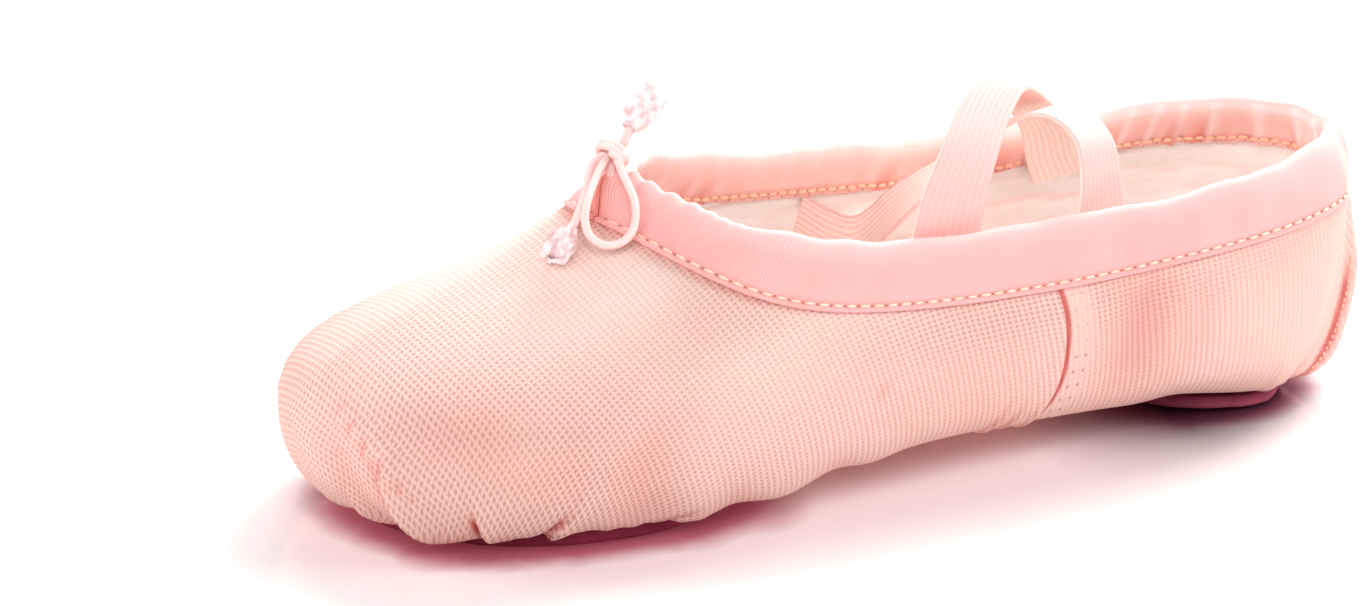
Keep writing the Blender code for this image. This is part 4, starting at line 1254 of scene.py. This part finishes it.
def bead_tree():
    """The node tree. Its smallest bead is LEAST times the size asked for."""
    tree = bpy.data.node_groups.new("beads along a path", "GeometryNodeTree")
    for name, kind in (
        ("Path", "Geometry"), ("Count", "Int"), ("Size", "Vector"), ("Seed", "Int"), ("Finish", "Material"),
    ):
        tree.interface.new_socket(name, in_out="INPUT", socket_type=f"NodeSocket{kind}")
    tree.interface.new_socket("Beads", in_out="OUTPUT", socket_type="NodeSocketGeometry")

    def node(kind, inputs, output=0, **settings):
        made = tree.nodes.new(kind)
        for key, value in settings.items():
            setattr(made, key, value)
        for socket, value in inputs.items():
            socket = next(s for s in made.inputs if s.enabled and s.name == socket)
            if isinstance(value, bpy.types.NodeSocket):
                tree.links.new(value, socket)
            else:
                socket.default_value = value
        return [s for s in made.outputs if s.enabled][output]

    given = {s.name: s for s in tree.nodes.new("NodeGroupInput").outputs}
    curve = node("GeometryNodeMeshToCurve", {"Mesh": given["Path"]})
    steps = node("GeometryNodeResampleCurve", {"Curve": curve, "Count": given["Count"]}, mode="COUNT")
    away = node("GeometryNodeInputNamedAttribute", {"Name": "out"}, data_type="FLOAT_VECTOR")
    along = node("GeometryNodeInputTangent", {})
    axes = {"Primary Axis": along, "Secondary Axis": away}
    turn = node("FunctionNodeAxesToRotation", axes, primary_axis="X", secondary_axis="Z")
    span = {"Min": LEAST, "Max": 1.0, "Seed": given["Seed"]}
    chance = node("FunctionNodeRandomValue", span, data_type="FLOAT")
    size = node("ShaderNodeVectorMath", {"Vector": given["Size"], "Scale": chance}, operation="SCALE")
    bead = node("GeometryNodeMeshUVSphere", {"Segments": 10, "Rings": 6, "Radius": 0.5})
    placed = {"Points": steps, "Instance": bead, "Rotation": turn, "Scale": size}
    beads = node("GeometryNodeInstanceOnPoints", placed)
    real = node("GeometryNodeRealizeInstances", {"Geometry": beads})
    smooth = node("GeometryNodeSetShadeSmooth", {"Geometry": real, "Shade Smooth": True})
    done = node("GeometryNodeSetMaterial", {"Geometry": smooth, "Material": given["Finish"]})
    tree.links.new(done, tree.nodes.new("NodeGroupOutput").inputs["Beads"])
    return tree


BEADS = bead_tree()


def part_of_path(points, start, end):
    """The piece of a path from one distance along it to another."""
    run = lengths(points)
    there = np.linspace(start, end, max(4, int((end - start) / (0.8 * MM))))
    return np.stack([np.interp(there, run, points[:, k]) for k in range(3)], 1)


def add_beads(name, paths, pitch, size, finish, slot, seed):
    """Beads along each (points, outward directions) pair, as one plain mesh. Sizes are in mm."""
    made = []
    for points, outward in paths:
        path = bpy.data.meshes.new("path")
        path.from_pydata(points.tolist(), [(k, k + 1) for k in range(len(points) - 1)], [])
        layer = path.attributes.new("out", "FLOAT_VECTOR", "POINT")
        layer.data.foreach_set("vector", outward.astype(np.float32).ravel())
        carrier = bpy.data.objects.new(name, path)
        scene.collection.objects.link(carrier)
        nodes = carrier.modifiers.new("Beads", "NODES")
        nodes.node_group = BEADS
        values = {
            "Count": round(lengths(points)[-1] / (pitch * MM)) + 1, "Size": tuple(x * MM for x in size),
            "Seed": seed, "Finish": finish.material,
        }
        for item in BEADS.interface.items_tree:
            if item.in_out == "INPUT" and item.name in values:
                nodes[item.identifier] = values[item.name]
        evaluated = carrier.evaluated_get(bpy.context.evaluated_depsgraph_get())
        made.append(bpy.data.meshes.new_from_object(evaluated))
        bpy.data.objects.remove(carrier)
    joined = bmesh.new()
    for mesh in made:
        joined.from_mesh(mesh)
    whole = bpy.data.meshes.new(name)
    joined.to_mesh(whole)
    joined.free()
    whole.shade_smooth()
    return add_piece(whole, finish, slot)


def outward_of(points):
    """Directions away from the shoe's inside, level with the ground."""
    middle = np.stack([0 * points[:, 0], np.clip(points[:, 1], -75 * MM, 85 * MM), points[:, 2]], 1)
    return unit(points - middle)


# %% Rows of stitches on the tape
PITCH, CHAIN_PITCH, SEAM_PITCH, BACK_PITCH = 3.0, 2.2, 3.1, 1.3
thread_finish = Finish("peach thread", (0.98, 0.66, 0.50), 0.6, Specular_IOR_Level=0.3)
chain_finish = Finish("orange thread", (0.95, 0.45, 0.28), 0.6, Specular_IOR_Level=0.3)
for finish, low, high in (
    (thread_finish, (0.93, 0.60, 0.46), (1.0, 0.82, 0.67)),
    (chain_finish, (0.92, 0.43, 0.29), (0.98, 0.64, 0.48)),
):
    twist = finish.noise(finish.place(), 2600.0, 2.0)
    finish.colour(finish.mix(twist, low, high))
    if finish is thread_finish:
        finish.relief(twist, 0.1 * MM)
hole_finish = Finish("needle hole", (0.52, 0.26, 0.19), 1.0, Specular_IOR_Level=0.0)
faint_finish = Finish("faint needle hole", (0.66, 0.36, 0.30), 1.0, Specular_IOR_Level=0.0)


def tape_row(corner, lift, gap):
    """A row along the tape, through one corner of its section, this far off its face and from the slit."""
    whole = tape_grid[:, corner]
    whole = whole + outward_of(whole) * math.copysign(lift, TAPE_SECTION[corner].out) * MM
    points = part_of_path(whole, gap * MM, lengths(whole)[-1] - gap * MM)
    return points, outward_of(points) * math.copysign(1, TAPE_SECTION[corner].out)


outside_row, inside_row = (tape_depth.tolist().index(depth) for depth in (OUTSIDE_SEW, INSIDE_SEW))

# Which corner of the section, how far off it, how far from the slit, the pitch and the size, all in mm.
TapeRow = namedtuple("TapeRow", "name corner lift gap pitch size finish seed")
for row in (
    ("outside_stitches", outside_row, 0.2, 3.0, PITCH, (2.3, 0.65, 0.5), thread_finish, 1),
    ("outside_needle_holes", outside_row, 0.25, 1.5, PITCH, (0.58, 0.58, 0.35), hole_finish, 2),
    ("inside_stitches", inside_row, 0.35, 3.0, CHAIN_PITCH, (2.2, 1.05, 0.7), chain_finish, 3),
    ("inside_needle_holes", inside_row + 2, 0.05, 1.5, PITCH, (0.5, 0.4, 0.3), faint_finish, 4),
):
    row = TapeRow(*row)
    places = tape_row(row.corner, row.lift, row.gap)
    add_beads(row.name, [places], row.pitch, row.size, row.finish, "binding_tape", row.seed)

# %% Needle holes behind the side seam
HOLES_UP, HOLES_DOWN, HOLES_BEHIND = 6, 15, (2.6, 4.8)


def seam_row(side, behind):
    """A row of places this many mm behind the side seam, from near the sole to near the tape."""
    ups = np.linspace(HOLES_UP, 60, 80) * MM
    share = seam_at(ups) + behind / widest_run[-1]
    ring = Shell(side * share)
    ups = ups[ups < ring.height.min() - HOLES_DOWN * MM]
    wall, away = ring.wall(ups)
    sides = (side * share)[: len(ups), None]
    proud = creases(sides, ups[:, None])[0] + seams(sides, ups[:, None])[0]
    return wall + away * (proud + 0.12 * MM), away


seam_rows = [seam_row(side, behind) for side in (-1, 1) for behind in HOLES_BEHIND]
add_beads("side_seam_needle_holes", seam_rows, SEAM_PITCH, (0.6, 0.6, 0.4), faint_finish, "canvas", 5)

back_ups = np.linspace(4, 26, 50) * MM
back_ring = Shell(1 - (np.interp(back_ups / MM, *BACK_SEAM) + 1.3) / widest_run[-1] / BACK_STRETCH)
back_wall, back_away = back_ring.wall(back_ups)
back_row = back_wall + back_away * 0.7 * MM, back_away
add_beads("back_seam_stitches", [back_row], BACK_PITCH, (0.9, 0.5, 0.6), chain_finish, "canvas", 6)

# %% [markdown]
# ## Split sole
# The two suede pads are cut by hand, so their edges are a little uneven. They follow the canvas above
# them, are pressed flat where they stand, and have a napped side.

# %% Suede pads
# The last number says how much lighter the lower rim is painted: painted highlight where the heel's light
# falls.
Pad = namedtuple("Pad", "half_width middle half_length broad_end worn")
FORE_PAD = Pad(28.5 * MM, -59.5 * MM, 39.5 * MM, -0.08, 0)
HEEL_PAD = Pad(19.5 * MM, 82 * MM, 19.5 * MM, -0.06, 0.7)
PRESSED = 0.5 * MM
Edge = namedtuple("Edge", "share is_top lift")
PAD_SECTION = [Edge(*row) for row in [
    (0.02, True, 0), (0.3, True, 0), (0.6, True, 0), (0.85, True, 0), (0.97, True, 0), (0.995, True, -0.1),
    (1.0, True, -0.35), (1.0, False, 0.9), (0.997, False, 0.5), (0.985, False, 0.15), (0.96, False, 0),
    (0.85, False, 0), (0.6, False, 0), (0.3, False, 0), (0.02, False, 0),
]]

suede_finish = Finish("plum suede", (0.13, 0.012, 0.035), 0.95, Specular_IOR_Level=0.1)
nap = suede_finish.noise(suede_finish.place(), 1400.0, 4.0, 0.7)
mottle = suede_finish.noise(suede_finish.place(), 90.0, 3.0)
suede_colour = suede_finish.blend(0.35, 0.7, mottle, (0.22, 0.024, 0.055), (0.36, 0.048, 0.10))
# Painted highlight: the lower rim is a lighter plum.
suede_colour = suede_finish.tint(suede_colour, "worn", (0.52, 0.12, 0.18))
suede_finish.colour(suede_finish.mix(nap * 0.4, suede_colour, (0.55, 0.13, 0.20)))
suede_finish.relief(nap, 0.4 * MM)


def add_pad(name, pad, node):
    """A pad from its section, carried round its outline."""
    angle = np.linspace(0, 2 * np.pi, 180, endpoint=False)
    uneven = 0.18 * np.sin(7 * angle + 1) + 0.14 * np.sin(16 * angle) + 0.08 * np.sin(31 * angle + 2)
    rings = []
    for edge in PAD_SECTION:
        grow = edge.share + uneven * MM / pad.half_length * rise(0.8, 1.0, edge.share)
        x = pad.half_width * grow * (1 + pad.broad_end * np.cos(angle)) * np.sin(angle)
        y = pad.middle - pad.half_length * grow * np.cos(angle)
        top = under_canvas(x, y) - GAP
        bottom = np.maximum(top - SUEDE - PRESSED, 0)
        rings.append(np.column_stack([x, y, (top if edge.is_top else bottom) + edge.lift * MM]))
    mesh = mesh_of(name, np.array(rings), ring=True, caps=True)
    # Painted highlight on the outer lower rim.
    worn = [[pad.worn * (edge.share > 0.98) * (not edge.is_top)] for edge in PAD_SECTION]
    paint(mesh, (len(PAD_SECTION), len(angle)), worn=worn)
    return add_piece(mesh, suede_finish, "suede", node)


add_pad("fore_pad", FORE_PAD, "fore_sole")
add_pad("heel_pad", HEEL_PAD, "heel_sole")

# %% [markdown]
# ## Crossed elastics
# Two woven elastics are sewn inside the quarters and cross over the instep. Each is a ribbon between
# two edges, set fold by fold, with lengthwise ribs where its rubber cores run.

# %% Elastics
Fold = namedtuple("Fold", "front rear")
FRONT_STRAP = [Fold(*edges) for edges in [
    ((25.8, 1.5, 40), (24.5, 16.5, 39)),
    ((24.3, 2.0, 46), (22.8, 17.5, 45)),
    ((23.5, 4.5, 57), (21.5, 20.0, 54.5)),
    ((20, 10.5, 65.5), (17.5, 24.5, 61.5)),
    ((12, 19, 71), (9.5, 32.5, 67)),
    ((4, 28, 72), (2, 41, 68)),
    ((-5, 38.5, 64.5), (-6, 52, 60)),
    ((-13, 48.5, 53.5), (-14, 62, 51)),
    ((-20.5, 55, 43.5), (-20.5, 68, 43.5)),
    ((-25.3, 60, 36), (-24.8, 73, 38)),
]]
REAR_STRAP = [Fold(*edges) for edges in [
    ((23.6, 41, 39), (23.2, 54, 38)),
    ((22.2, 41, 45), (19.2, 54, 44)),
    ((21.0, 42, 56), (14.8, 54, 54.5)),
    ((18, 41.5, 63), (11.5, 53.5, 60)),
    ((10, 40, 65), (4.5, 52, 62.5)),
    ((2.5, 36.5, 62), (-3, 47.5, 61)),
    ((-3, 30.5, 54), (-9, 40, 55.5)),
    ((-8, 24.5, 44), (-14.5, 32.5, 49)),
    ((-13.5, 19.5, 34.5), (-18, 24.4, 43.6)),
    ((-18.5, 15.5, 26.5), (-22, 18.2, 36.7)),
    ((-24, 12, 26.5), (-25.3, 13.5, 37.4)),
    ((-30.4, 8, 29.5), (-28.5, 9.3, 40)),
]]
ELASTIC, CORES, PER_CORE = 1.0 * MM, 9, 6
BAND_PITCH, CORE_PITCH = 0.45 * MM, 0.75 * MM

elastic_finish = Finish("pale ribbed elastic", (0.97, 0.78, 0.74), 0.6, Specular_IOR_Level=0.3)
along, across = elastic_finish.cloth("cloth")
cross = along.waves(BAND_PITCH) * across.waves(CORE_PITCH) * 0.5 + 0.5
elastic_colour = elastic_finish.mix(cross, (0.86, 0.47, 0.44), (0.885, 0.56, 0.525))
# The underside, and the far ends of the top face, are lighter peach copies of the elastic's colour: painted
# light on faces in shade. The underside also glows a little; the grooves between the ribs get painted shade.
elastic_colour = elastic_finish.tint(elastic_colour, "under", (0.99, 0.80, 0.72))
elastic_colour = elastic_finish.tint(elastic_colour, "shaded", (0.97, 0.71, 0.63))
elastic_finish.glow(0.09, (1.0, 0.60, 0.50), elastic_finish.attribute("under"))
elastic_finish.colour(elastic_finish.tint(elastic_colour, "crevice", (0.90, 0.42, 0.38)))
elastic_finish.relief(cross, 0.07 * MM)


def add_elastic(name, folds, node):
    """A ribbed band between two edges, its ribs carried along it."""
    front = smooth_path([fold.front for fold in folds], 10) * MM
    rear = smooth_path([fold.rear for fold in folds], 10) * MM
    face = unit(np.cross(np.gradient((front + rear) / 2, axis=0), rear - front))
    width = np.linspace(0, 1, CORES * PER_CORE + 1)
    groove = 0.5 + 0.5 * np.cos(width * CORES * 2 * np.pi)
    groove[[0, -1]] = 0.6
    thick = (0.5 - 0.12 * groove) * ELASTIC
    middle = front[:, None] + (rear - front)[:, None] * width[:, None]
    proud = face[:, None] * thick[:, None]
    grid = np.concatenate([middle - proud, (middle + proud)[:, ::-1]], axis=1)
    run = lengths((front + rear) / 2)
    over = np.concatenate([width, width[::-1]]) * np.linalg.norm(rear - front, axis=1).mean()
    flat = np.stack(np.broadcast_arrays(run[:, None], over), -1)
    mesh = mesh_of(name, grid, ring=True, caps=True, flat=flat)
    # Painted shade in the grooves between the ribs, and painted light on the underside and on the far ends of
    # the top face.
    deep = np.concatenate([groove, groove[::-1]]) ** 3
    under = np.repeat([0.0, 1.0], len(width))
    inner = (width > 0.05) & (width < 0.95)
    shaded = rise(-2 * MM, -10 * MM, grid[..., 0]) * np.concatenate([inner, 0 * width])
    paint(mesh, grid.shape[:2], crevice=deep * (0.6 - 0.3 * under), under=under, shaded=shaded)
    return add_piece(mesh, elastic_finish, "elastic", node)


add_elastic("front_elastic", FRONT_STRAP, "strap_front")
add_elastic("rear_elastic", REAR_STRAP, "strap_rear")
